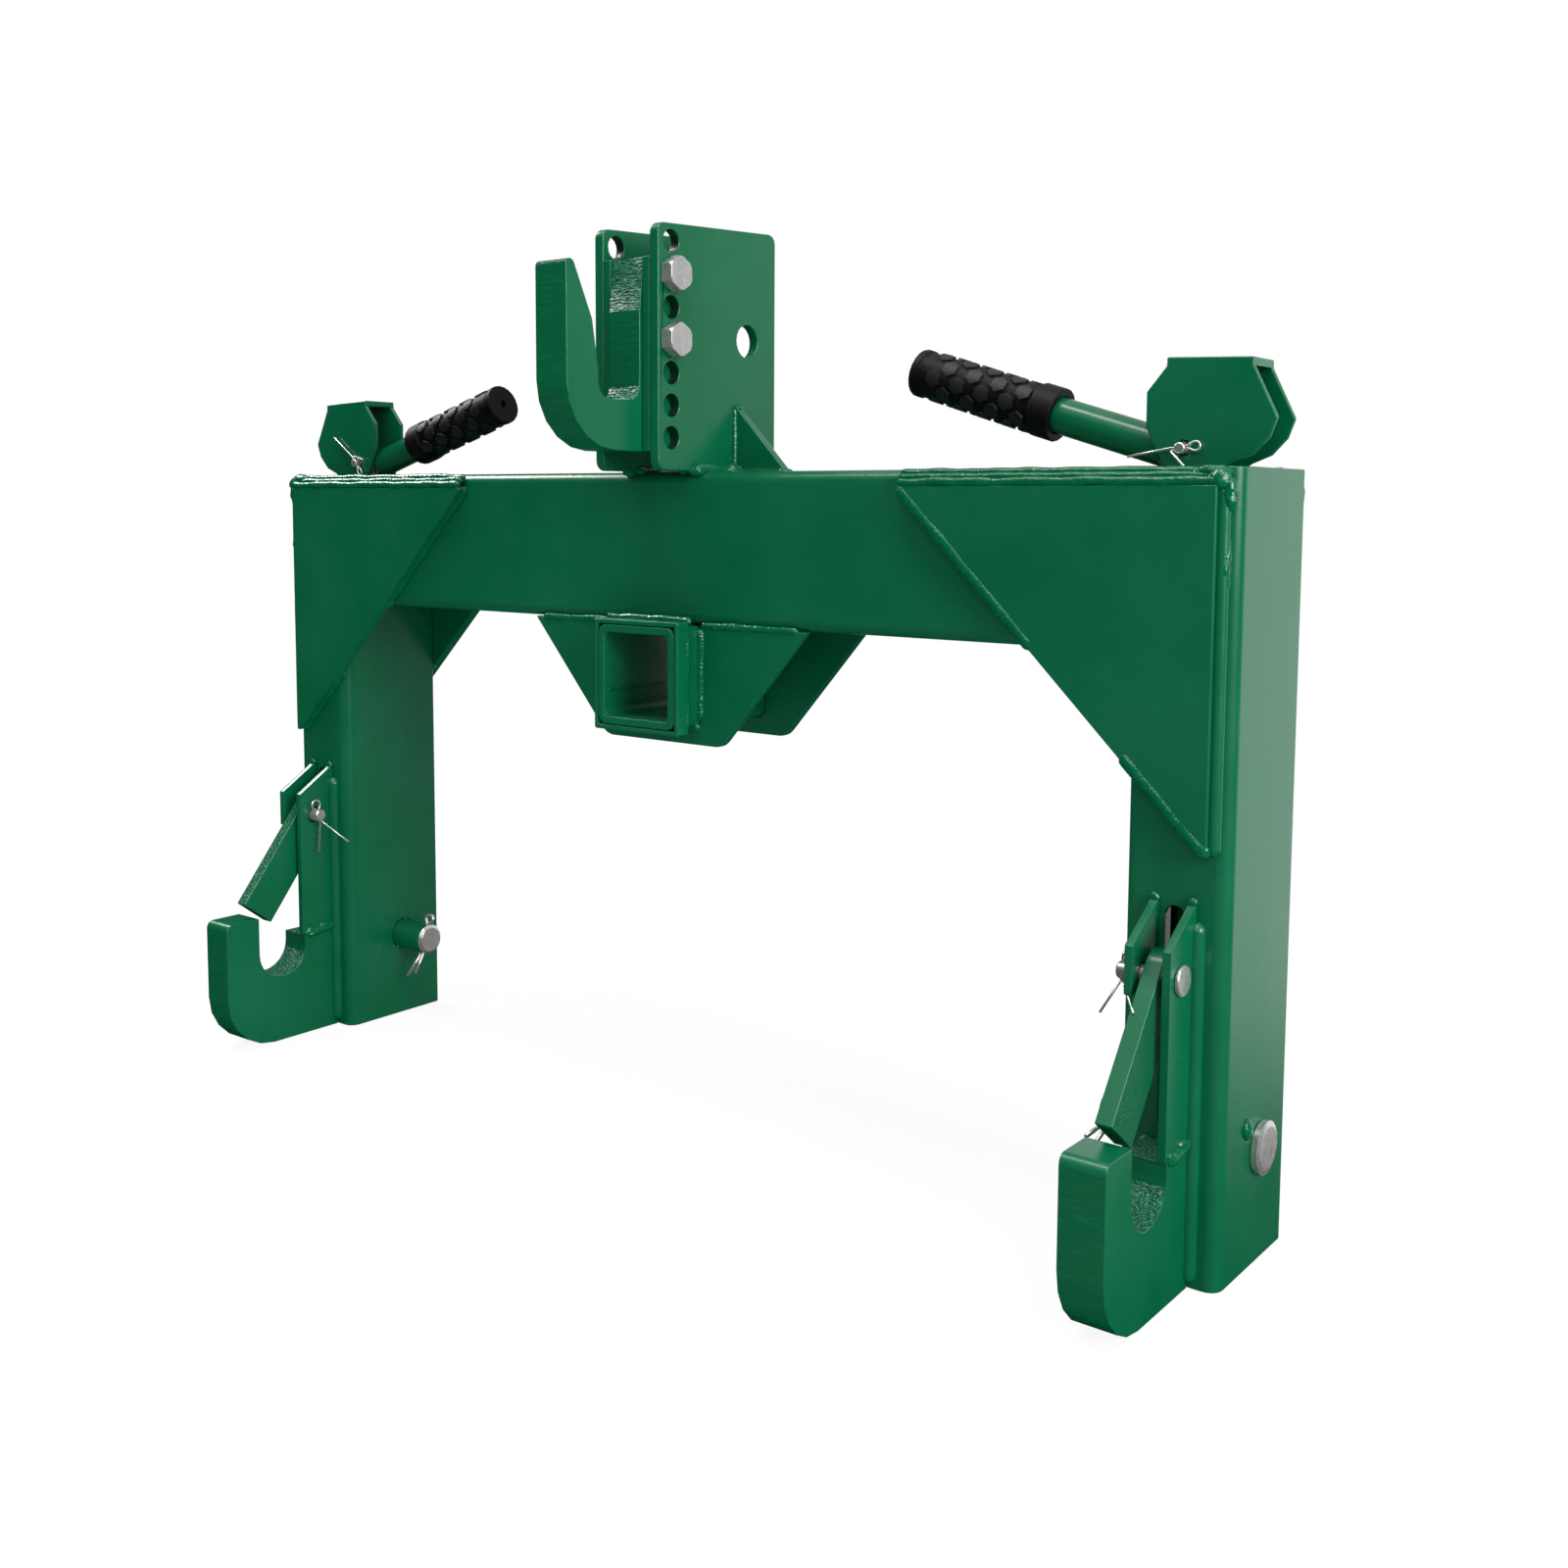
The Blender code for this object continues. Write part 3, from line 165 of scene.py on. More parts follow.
class HitchPaint(bpy.types.PropertyGroup):
    """Colours and finish of the painted and the plated pieces."""

    enamel: tint("Enamel", "Green of the paint", (0.0, 0.088, 0.034))
    enamel_light: tint("Thin enamel", "Green where the paint is thin", (0.0006, 0.104, 0.044))
    # Painted glints: a pale green on the grain's crests, standing in for highlights of the light on rough
    # faces that face up.
    bright_enamel: tint("Bright enamel", "Green on the crests of rough metal", (0.030, 0.300, 0.180))
    # Painted shade: a dark green that stands in for the shade inside the mast plates' bolt holes.
    bore: tint("Bore enamel", "Green of the thick paint in the holes", (0.0, 0.022, 0.010))
    zinc: tint("Zinc", "Colour of the plated fasteners", (0.66, 0.655, 0.65))
    steel: tint("Steel", "Colour of the rod and the spring", (0.33, 0.33, 0.34))
    rubber: tint("Rubber", "Colour of the grips", (0.0025, 0.0025, 0.003))
    # Painted light: the pads are lighter than the grip's body, standing in for the light on the raised pads
    # and the shade in the gaps between them.
    pad_rubber: tint("Worn rubber", "Colour of the grips' pads", (0.0060, 0.0062, 0.0066))
    enamel_roughness: fraction("Enamel roughness", "Roughness of the paint", 0.24)
    peel_height: metres("Orange peel", "Height of the paint's ripple", 0.00006)


class HitchMetal(bpy.types.PropertyGroup):
    """Sizes of the edges and the welds."""

    edge: metres("Plate edge", "Rounding of the plates' edges", 0.0009)
    small_edge: metres("Fastener edge", "Rounding of the fasteners' edges", 0.00035)
    ripple: metres("Weld ripple", "Distance between two ripples of a weld", 0.0021)
    wander: metres("Weld wander", "How far a bead strays sideways", 0.0007)
    bead_sides: whole("Weld facets", "Facets round a bead", 10, 6, 24)
    wall: metres("Wall", "Wall of the uprights, which the caps sit inside", 0.005)
    tip_round: metres("Top hook tip", "Rounding of the top hook's tip", 0.0022)
    horn_round: metres("Lower hook tip", "Rounding of the lower hooks' tips", 0.0052)
    bore_round: metres("Receiver corner", "Rounding of the receiver's inner corners", 0.0045)
    throat_square: fraction("Throat", "How square the top hook's throat is; 1 is round", 0.53, 0.3)
    head_round: metres("Head chamfer", "Chamfer of the bolt heads and pin heads", 0.0013)


class HitchPins(bpy.types.PropertyGroup):
    """Sizes of the split pins."""

    wire: metres("Wire", "Wire of the small split pins", 0.00135)
    thick_wire: metres("Thick wire", "Wire of the draft pins' split pins", 0.0025)
    sides: whole("Wire facets", "Facets round a wire", 10, 6, 24)


class HitchGrip(bpy.types.PropertyGroup):
    """Sizes of the rubber grips' pads."""

    around: whole("Pads around", "Rows of pads round a grip", 10, 4, 30)
    pitch: metres("Pitch", "Distance between two pads of a row", 0.0165)
    pad: metres("Pad", "Width of a pad across flats", 0.0091)
    raise_by: metres("Pad height", "How far a pad stands out", 0.0011)
    body: metres("Body", "Radius of the grip under the pads", 0.01285)
    collar: metres("Collar", "Smooth collar at the lever", 0.0148)
    flange: metres("Flange", "Smooth flange at the end", 0.0052)


class HitchStage(bpy.types.PropertyGroup):
    """Camera, floor and light."""

    focal: FloatProperty(name="Focal length", description="Lens of the camera in millimetres",
                         default=37.60883)
    yaw: degrees("Yaw", "Turn of the camera", 37.52756)
    pitch: degrees("Pitch", "Tilt of the camera below the horizon", 5.35264)
    roll: degrees("Roll", "Roll of the camera", 0.29443)
    place: FloatVectorProperty(name="Place", description="Where the camera stands", size=3, precision=6,
                               subtype="TRANSLATION", unit="LENGTH", default=(0.677269, -0.755748, 0.393524))
    shift: FloatVectorProperty(name="Shift", description="Sideways and upward shift of the picture", size=2,
                               precision=6, default=(-0.001225, -0.080033))
    backdrop: tint("Backdrop", "Colour of floor and backdrop", (0.95, 0.95, 0.95))
    shade: fraction("Shade", "Share of the floor's shade that the camera sees", 0.09)
    key: strength("Key light", "Power of the lamp at the upper left", 38.0)
    front: strength("Front light", "Power of the lamp in front", 14.0)
    fill: strength("Side light", "Power of the lamp at the right", 76.0)
    strip: strength("Strip light", "Power of the long lamp above", 30.0)
    sky: strength("Sky", "Strength of the surrounding light", 0.45)


def settings():
    """The settings kept on the scene."""
    return bpy.context.scene.quick_hitch


# ---- shader nodes ----


def feed(tree, source, target):
    """Link a socket to a target, or set the target to a number."""
    if isinstance(source, (int, float)):
        target.default_value = source
    else:
        tree.links.new(source, target)


def math_node(tree, operation, first, second):
    """A Math node fed by sockets or numbers."""
    node = tree.nodes.new("ShaderNodeMath")
    node.operation = operation
    feed(tree, first, node.inputs[0])
    feed(tree, second, node.inputs[1])
    return node.outputs[0]


def ramp(tree, source, start, end, values=(0.0, 1.0), soft=False):
    """Carry what lies between start and end over to another range."""
    node = tree.nodes.new("ShaderNodeMapRange")
    if soft:
        node.interpolation_type = "SMOOTHSTEP"
    for name, value in zip(("From Min", "From Max", "To Min", "To Max"), (start, end, *values)):
        node.inputs[name].default_value = value
    feed(tree, source, node.inputs["Value"])
    return node.outputs[0]


def noise_node(tree, vector, scale, detail=2.0, roughness=0.5):
    """A noise texture on a vector."""
    node = tree.nodes.new("ShaderNodeTexNoise")
    for name, source in (("Vector", vector), ("Scale", scale), ("Detail", detail), ("Roughness", roughness)):
        feed(tree, source, node.inputs[name])
    return node.outputs["Fac"]


def new_group(name, inputs, outputs):
    """An empty shader node group, with the sockets of its input node and of its output node."""
    group = bpy.data.node_groups.new(name, "ShaderNodeTree")
    for way, sockets in (("INPUT", inputs), ("OUTPUT", outputs)):
        for label in sockets:
            kind = "NodeSocketVector" if label == "Vector" else "NodeSocketFloat"
            group.interface.new_socket(name=label, in_out=way, socket_type=kind)
    return group, group.nodes.new("NodeGroupInput").outputs, group.nodes.new("NodeGroupOutput").inputs


def peel_group():
    """Orange peel of sprayed enamel: a fine ripple, slow waves, and a mask of thicker paint."""
    group, given, made = new_group("enamel_peel", ("Vector",), ("Height", "Thickness"))
    fine = math_node(group, "MULTIPLY", noise_node(group, given["Vector"], 420.0), 0.45)
    slow = math_node(group, "MULTIPLY", noise_node(group, given["Vector"], 34.0), 2.2)
    cloud = noise_node(group, given["Vector"], 13.0, 4.0, 0.6)
    feed(group, math_node(group, "ADD", fine, slow), made["Height"])
    feed(group, ramp(group, cloud, 0.3, 0.7), made["Thickness"])
    return group


def grit_group():
    """Rough metal under paint: grains and pits for welds, cut edges and cast faces."""
    group, given, made = new_group("painted_grit", ("Vector", "Grain"), ("Height", "Pits"))
    grain = noise_node(group, given["Vector"], given["Grain"], 3.0, 0.65)
    cells = group.nodes.new("ShaderNodeTexVoronoi")
    feed(group, given["Vector"], cells.inputs["Vector"])
    feed(group, given["Grain"], cells.inputs["Scale"])
    pits = math_node(group, "MULTIPLY", cells.outputs["Distance"], 0.7)
    feed(group, math_node(group, "ADD", grain, pits), made["Height"])
    feed(group, ramp(group, grain, 0.5, 0.68), made["Pits"])
    return group


def plating_group():
    """Zinc plating: cloudy tone and small scratches."""
    group, given, made = new_group("zinc_plating", ("Vector",), ("Tone", "Height"))
    cloud = noise_node(group, given["Vector"], 160.0, 4.0, 0.65)
    feed(group, ramp(group, cloud, 0.3, 0.7), made["Tone"])
    feed(group, noise_node(group, given["Vector"], 1500.0), made["Height"])
    return group


def start_material(name):
    """The node tree of a new material, with its shader and its object coordinates."""
    material = bpy.data.materials.new(name)
    material.use_nodes = True
    tree = material.node_tree
    return tree, tree.nodes["Principled BSDF"], tree.nodes.new("ShaderNodeTexCoord").outputs["Object"]


def place_group(tree, name, maker, vector):
    """Put a node group, which is made once, in a material."""
    node = tree.nodes.new("ShaderNodeGroup")
    node.node_tree = bpy.data.node_groups.get(name) or maker()
    feed(tree, vector, node.inputs["Vector"])
    return node


def mix_colours(tree, factor, first, second, target):
    """Blend two colours by a mask."""
    node = tree.nodes.new("ShaderNodeMix")
    node.data_type = "RGBA"
    node.inputs["A"].default_value = (*first, 1.0)
    node.inputs["B"].default_value = (*second, 1.0)
    feed(tree, factor, node.inputs["Factor"])
    feed(tree, node.outputs["Result"], target)


def bump(tree, shader, height, distance):
    """Feed a height to the shader's normal."""
    node = tree.nodes.new("ShaderNodeBump")
    node.inputs["Distance"].default_value = distance
    feed(tree, height, node.inputs["Height"])
    feed(tree, node.outputs["Normal"], shader.inputs["Normal"])


def vary_roughness(tree, shader, mask, roughness, least, most):
    """Let a mask carry the roughness between two multiples of its value."""
    feed(tree, ramp(tree, mask, 0.0, 1.0, (roughness * least, roughness * most)), shader.inputs["Roughness"])


def smooth_enamel(name):
    """Smooth sprayed enamel on plate and tube."""
    paint = settings().paint
    tree, shader, vector = start_material(name)
    peel = place_group(tree, "enamel_peel", peel_group, vector).outputs
    mix_colours(tree, peel["Thickness"], paint.enamel, paint.enamel_light, shader.inputs["Base Color"])
    vary_roughness(tree, shader, peel["Thickness"], paint.enamel_roughness, 0.85, 1.25)
    bump(tree, shader, peel["Height"], paint.peel_height)


def rough_enamel(name, grain, height, roughness, stretch=(1.0, 1.0, 1.0), base="enamel",
                 crest="enamel_light"):
    """Enamel over rough metal, such as a weld, a flame cut edge or a knurled face."""
    paint = settings().paint
    tree, shader, vector = start_material(name)
    mapping = tree.nodes.new("ShaderNodeMapping")
    mapping.inputs["Scale"].default_value = stretch
    feed(tree, vector, mapping.inputs["Vector"])
    grit = place_group(tree, "painted_grit", grit_group, mapping.outputs["Vector"])
    grit.inputs["Grain"].default_value = grain
    # Where the crest colour is the painted glint, the grain's crests get painted highlights.
    mix_colours(tree, grit.outputs["Pits"], getattr(paint, base), getattr(paint, crest),
                shader.inputs["Base Color"])
    shader.inputs["Roughness"].default_value = roughness
    bump(tree, shader, grit.outputs["Height"], height)


def plated_metal(name, colour, roughness, height, metallic):
    """Plated or bare metal, darker where its tone is low."""
    colour = getattr(settings().paint, colour)
    tree, shader, vector = start_material(name)
    skin = place_group(tree, "zinc_plating", plating_group, vector).outputs
    darker = tuple(value * 0.86 for value in colour)
    mix_colours(tree, skin["Tone"], darker, colour, shader.inputs["Base Color"])
    vary_roughness(tree, shader, skin["Tone"], roughness, 0.75, 1.3)
    shader.inputs["Metallic"].default_value = metallic
    bump(tree, shader, skin["Height"], height)


def moulded_rubber(name, colour, gloss):
    """Matt black moulded rubber with a fine skin, lighter on its grains."""
    colour = getattr(settings().paint, colour)
    tree, shader, vector = start_material(name)
    grit = place_group(tree, "painted_grit", grit_group, vector)
    grit.inputs["Grain"].default_value = 1300.0
    lighter = tuple(value * 1.8 for value in colour)
    mix_colours(tree, grit.outputs["Pits"], colour, lighter, shader.inputs["Base Color"])
    shader.inputs["Roughness"].default_value = 0.5
    shader.inputs["Specular IOR Level"].default_value = gloss
    bump(tree, shader, grit.outputs["Height"], 0.00005)


FINISHES = {
    "green_enamel": (smooth_enamel, {}),
    "weld_enamel": (rough_enamel, {"grain": 300.0, "height": 0.0004, "roughness": 0.16}),
    "flame_cut_enamel": (rough_enamel, {"grain": 520.0, "height": 0.00018, "roughness": 0.24,
                                        "stretch": (0.12, 1.0, 1.0)}),
    "rough_enamel": (rough_enamel, {"grain": 950.0, "height": 0.00035, "roughness": 0.22}),
    # The ground and the speckled finishes carry painted glints, pale green on the grain's crests.
    "ground_glint_enamel": (rough_enamel, {"grain": 430.0, "height": 0.0030, "roughness": 0.15,
                                     "stretch": (0.5, 1.0, 1.6), "crest": "bright_enamel"}),
    "glint_speckled_enamel": (rough_enamel, {"grain": 760.0, "height": 0.0018, "roughness": 0.16,
                                       "crest": "bright_enamel"}),
    # painted shade for the walls of the mast plates' bolt holes
    "painted_bore_shade": (rough_enamel, {"grain": 500.0, "height": 0.0002, "roughness": 0.35,
                                   "base": "bore", "crest": "bore"}),
    "bright_zinc": (plated_metal, {"colour": "zinc", "roughness": 0.27, "height": 0.00001,
                                   "metallic": 0.82}),
    "dark_steel": (plated_metal, {"colour": "steel", "roughness": 0.42, "height": 0.00002,
                                  "metallic": 1.0}),
    "grip_rubber": (moulded_rubber, {"colour": "rubber", "gloss": 0.15}),
    "pad_rubber": (moulded_rubber, {"colour": "pad_rubber", "gloss": 0.3}),
}


def finish(name):
    """One of the object's finishes, made once."""
    if name not in bpy.data.materials:
        maker, values = FINISHES[name]
        maker(name, **values)
    return bpy.data.materials[name]


# ---- modelling helpers ----


def new_object(name, data):
    """Put an object in the scene."""
    made = bpy.data.objects.new(name, data)
    bpy.context.scene.collection.objects.link(made)
    return made


def new_mesh(name, shape):
    """Turn a bmesh into a mesh."""
    mesh = bpy.data.meshes.new(name)
    shape.to_mesh(mesh)
    shape.free()
    return mesh


def close_up(name, shape, smooth=True):
    """Finish a bmesh as a closed mesh with its faces out."""
    bmesh.ops.recalc_face_normals(shape, faces=shape.faces)
    for face in shape.faces:
        face.smooth = smooth
    return new_mesh(name, shape)


def verts_of(items):
    """The vertices among what a bmesh operator made."""
    return [item for item in items if isinstance(item, bmesh.types.BMVert)]


def keep(name, mesh, body, finishes, nodes=()):
    """Put a finished piece in the scene, on its body and in its slot."""
    for finish_name in finishes:
        mesh.materials.append(finish(finish_name))
    piece = new_object(name, mesh)
    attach(piece, body)
    if nodes:
        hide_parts(*nodes)
    return piece


def round_edges(piece, width):
    """Round a piece's edges, and keep its flats flat."""
    bevel = piece.modifiers.new("Edges", "BEVEL")
    bevel.width = width
    bevel.segments = 2
    bevel.limit_method = "ANGLE"
    bevel.angle_limit = EDGE_ANGLE
    bevel.use_clamp_overlap = False
    bevel.profile = 0.5
    weights = piece.modifiers.new("Flats", "WEIGHTED_NORMAL")
    weights.keep_sharp = True
    return piece


def cut_back(shape, geometry, size, segments, affect="EDGES"):
    """Bevel some of a bmesh's edges or corners."""
    bmesh.ops.bevel(shape, geom=geometry, offset=size, offset_type="OFFSET", segments=segments,
                    profile=0.5, affect=affect, material=-1)


def soften(shape, spots):
    """Round some edges that run along X; each spot is the edge's Y and Z and a radius."""
    for along_y, along_z, radius in spots:
        edges = []
        for edge in shape.edges:
            start, end = edge.verts[0].co, edge.verts[1].co
            middle = (start + end) / 2
            straight = abs((start - end).x) >= edge.calc_length() * 0.99
            if straight and abs(middle.y - along_y) < IN_PLACE and abs(middle.z - along_z) < IN_PLACE:
                edges.append(edge)
        if not edges:
            raise RuntimeError("no edge runs at %.4f %.4f" % (along_y, along_z))
        cut_back(shape, edges, radius, 4)


def dressed(node, finishes, width, mend=None, paint=None):
    """A finer copy of a solid, with rounded edges, which stands for the solid."""
    source = FRAME["nodes"][node]
    shape = bmesh.new()
    shape.from_mesh(source.data)
    bmesh.ops.remove_doubles(shape, verts=shape.verts, dist=ONE_VERTEX)
    bmesh.ops.dissolve_limit(shape, angle_limit=FLAT_ANGLE, verts=shape.verts, edges=shape.edges)
    if mend is not None:
        mend(shape)
    shape.normal_update()
    for face in shape.faces:
        face.smooth = True
        if paint is not None:
            face.material_index = paint(face)
    name = node + "_skin"
    piece = keep(name, new_mesh(name, shape), source["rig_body"], finishes, (node,))
    return round_edges(piece, width)


def enamelled(node, width, mend=None):
    """A finer copy of a solid in smooth green enamel."""
    return dressed(node, GREEN, width, mend)


def frame_along(direction):
    """A rotation whose Z runs along a direction."""
    along = direction.normalized()
    side = Z_AXIS.cross(along)
    if side.length < 0.001:
        side = X_AXIS.cross(along)
    side.normalize()
    return Matrix((side, along.cross(side), along)).transposed()


def sweep(shape, path, radii, sides):
    """Draw a round section along a path by extruding its ring, and close both ends."""
    ring = bmesh.ops.create_circle(shape, cap_ends=False, segments=sides, radius=1.0)["verts"]
    edges = [edge for edge in shape.edges if all(vert in ring for vert in edge.verts)]
    last = Matrix.Identity(4)
    side = None
    loops = []
    for index, point in enumerate(path):
        along = (path[min(index + 1, len(path) - 1)] - path[max(index - 1, 0)]).normalized()
        if side is None:
            side = frame_along(along).col[0].copy()
        side = (side - along * side.dot(along)).normalized()
        turn = Matrix((side, along.cross(side), along)).transposed()
        size = Matrix.Diagonal((radii[index], radii[index], 1.0, 1.0))
        here = Matrix.Translation(point) @ turn.to_4x4() @ size
        if index:
            grown = bmesh.ops.extrude_edge_only(shape, edges=edges)["geom"]
            ring = verts_of(grown)
            edges = [item for item in grown if isinstance(item, bmesh.types.BMEdge)]
        bmesh.ops.transform(shape, matrix=here @ last.inverted(), verts=ring)
        loops.append(edges)
        last = here
    for loop in (loops[0], loops[-1]):
        bmesh.ops.edgeloop_fill(shape, edges=loop)


def bead_path(start, end, seed, pitch, wander):
    """Points along a straight weld that wanders a little."""
    length = (end - start).length
    count = max(int(length / (pitch / 3.0)), 6)
    turn = frame_along(end - start)
    points = []
    for index in range(count + 1):
        share = index / count
        reach = share * length * 55.0
        drift = noise.noise(Vector((reach, seed, 0.0))) * wander
        lift = noise.noise(Vector((reach, seed, 7.0))) * wander
        points.append(start.lerp(end, share) + turn.col[0] * drift + turn.col[1] * lift)
    return points


def add_bead(shape, start, end, seed, radius, calm):
    """Add one rippled weld bead to a bmesh; calm below 1 makes it smoother."""
    metal = settings().metal
    path = bead_path(start, end, seed, metal.ripple, metal.wander * calm)
    count = len(path) - 1
    length = (end - start).length
    radii = []
    for index in range(count + 1):
        reach = index / count * length
        shaken = noise.noise(Vector((reach * 90.0, seed, 3.0)))
        ripple = abs(math.sin(math.pi * reach / metal.ripple + shaken))
        swell = noise.noise(Vector((reach * 70.0, seed, 11.0)))
        edge = min(reach, length - reach) / radius
        taper = math.sqrt(max(0.12, 1.0 - (1.0 - min(edge, 1.0)) ** 2))
        radii.append(radius * taper * (0.95 + (0.07 * ripple + 0.2 * swell) * calm))
    sweep(shape, path, radii, metal.bead_sides)


def add_blob(shape, centre, size, seed):
    """Add a lump of weld to a bmesh."""
    turn = Matrix.Translation(centre) @ Matrix.Diagonal((*size, 1.0))
    made = bmesh.ops.create_icosphere(shape, subdivisions=4, radius=1.0, matrix=turn)["verts"]
    for vert in made:
        away = vert.co - Vector(centre)
        swell = noise.noise(vert.co * 230.0 + Vector((seed, 0.0, 0.0)))
        fine = noise.noise(vert.co * 800.0 + Vector((0.0, seed, 0.0)))
        vert.co = Vector(centre) + away * (1.0 + 0.22 * swell + 0.07 * fine)


def lay(name, beads, blobs, skin, calm):
    """Lay beads (start, end, seed, radius) and lumps (centre, size, seed) on the frame, as one piece."""
    shape = bmesh.new()
    for start, end, seed, radius in beads:
        add_bead(shape, Vector(start), Vector(end), seed, radius, calm)
    for centre, size, seed in blobs:
        add_blob(shape, centre, size, seed)
    keep(name, close_up(name, shape), "frame", (skin,))


def weld_piece(name, beads, blobs=()):
    """One piece of rippled weld."""
    lay(name, beads, blobs, "weld_enamel", 1.0)


def smooth_weld_piece(name, beads):
    """One piece of weld that the enamel has levelled."""
    lay(name, beads, (), "green_enamel", 0.12)


def bend(path, reach, steps=4):
    """Round the corners of a path of points."""
    points = [path[0]]
    for before, corner, after in zip(path, path[1:], path[2:]):
        enter = corner + (before - corner).normalized() * min(reach, (before - corner).length * 0.45)
        leave = corner + (after - corner).normalized() * min(reach, (after - corner).length * 0.45)
        for index in range(steps + 1):
            share = index / steps
            points.append(enter.lerp(corner, share).lerp(corner.lerp(leave, share), share))
    points.append(path[-1])
    return points


# ---- operators ----


class HITCH_OT_frame_plates(bpy.types.Operator):
    """Paint the crossbar, uprights, caps, gussets, receiver and mast"""

    bl_idname = "hitch.frame_plates"
    bl_label = "Frame plates"

    def raise_walls(self, label):
        """The upright's walls run up to the top of the cap."""
        seam, top = high("upright_" + label).z, high("cap_" + label).z

        def mend(shape):
            """Lift the walls' upper rim."""
            for vert in shape.verts:
                if vert.co.z > seam - IN_PLACE:
                    vert.co.z = top
        return mend

    def seat_cap(self, label):
        """The cap sits between the upright's walls."""
        play = 0.0001
        wall = settings().metal.wall + play
        inner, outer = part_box("upright_" + label)

        def mend(shape):
            """Draw the cap's rim in."""
            for vert in shape.verts:
                vert.co.x = min(max(vert.co.x, inner.x + wall), outer.x - wall)
                vert.co.y = max(vert.co.y, inner.y + wall)
        return mend

    def bore_corners(self):
        """The receiver tube's round inner corners."""
        metal = settings().metal
        tube_low, tube_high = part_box("receiver_tube")
        start, end = tube_low.y + metal.edge, tube_high.y - metal.edge
        radius, root, rim_round = metal.bore_round, 0.001, 0.0002
        shape = bmesh.new()
        for side_x, wall_x in ((-1, tube_low.x + metal.wall), (1, tube_high.x - metal.wall)):
            for side_z, wall_z in ((-1, tube_low.z + metal.wall), (1, tube_high.z - metal.wall)):
                known = set(shape.verts)
                first = shape.verts.new((wall_x, start, wall_z - side_z * radius))
                bmesh.ops.spin(shape, geom=[first], steps=6, angle=-side_x * side_z * math.pi / 2,
                               axis=(0.0, 1.0, 0.0),
                               cent=(wall_x - side_x * radius, start, wall_z - side_z * radius))
                arc = [vert for vert in shape.verts if vert not in known]
                corner = shape.verts.new((wall_x + side_x * root, start, wall_z + side_z * root))
                for vert in arc:
                    if len(vert.link_edges) == 1:
                        shape.edges.new((vert, corner))
                rim = list({edge for vert in arc + [corner] for edge in vert.link_edges})
                faces = bmesh.ops.edgeloop_fill(shape, edges=rim)["faces"]
                far = verts_of(bmesh.ops.extrude_face_region(shape, geom=faces)["geom"])
                bmesh.ops.translate(shape, verts=far, vec=(0.0, end - start, 0.0))
        name = "receiver_bore_corners"
        round_edges(keep(name, close_up(name, shape), "frame", GREEN), rim_round)

    def bore_paint(self, face):
        """Painted shade: dark enamel on the walls of the row of bolt holes, where the shade falls."""
        row_inset, hole_reach = 0.0118, 0.0075
        row = low("mast_plate_right").y + row_inset
        across = abs(face.calc_center_median().y - row)
        return 1 if abs(face.normal.x) < 0.5 and across < hole_reach else 0

    def execute(self, context):
        edge = settings().metal.edge
        for _, label in SIDES:
            enamelled("upright_" + label, edge, self.raise_walls(label))
            enamelled("cap_" + label, edge * 0.4, self.seat_cap(label))
        enamelled("crossbar", edge)
        for kind in ("tube", "collar", "bracket_front", "bracket_rear"):
            enamelled("receiver_" + kind, edge)
        for _, label in SIDES:
            enamelled("gusset_front_" + label, edge)
            enamelled("gusset_rear_" + label, edge)
            # The walls of the mast plates' bolt holes get painted shade.
            dressed("mast_plate_" + label, ("green_enamel", "painted_bore_shade"), edge,
                    paint=self.bore_paint)
            enamelled("mast_rib_" + label, edge)
            enamelled("top_hook_spacer_" + label, edge)
        self.bore_corners()
        return {"FINISHED"}


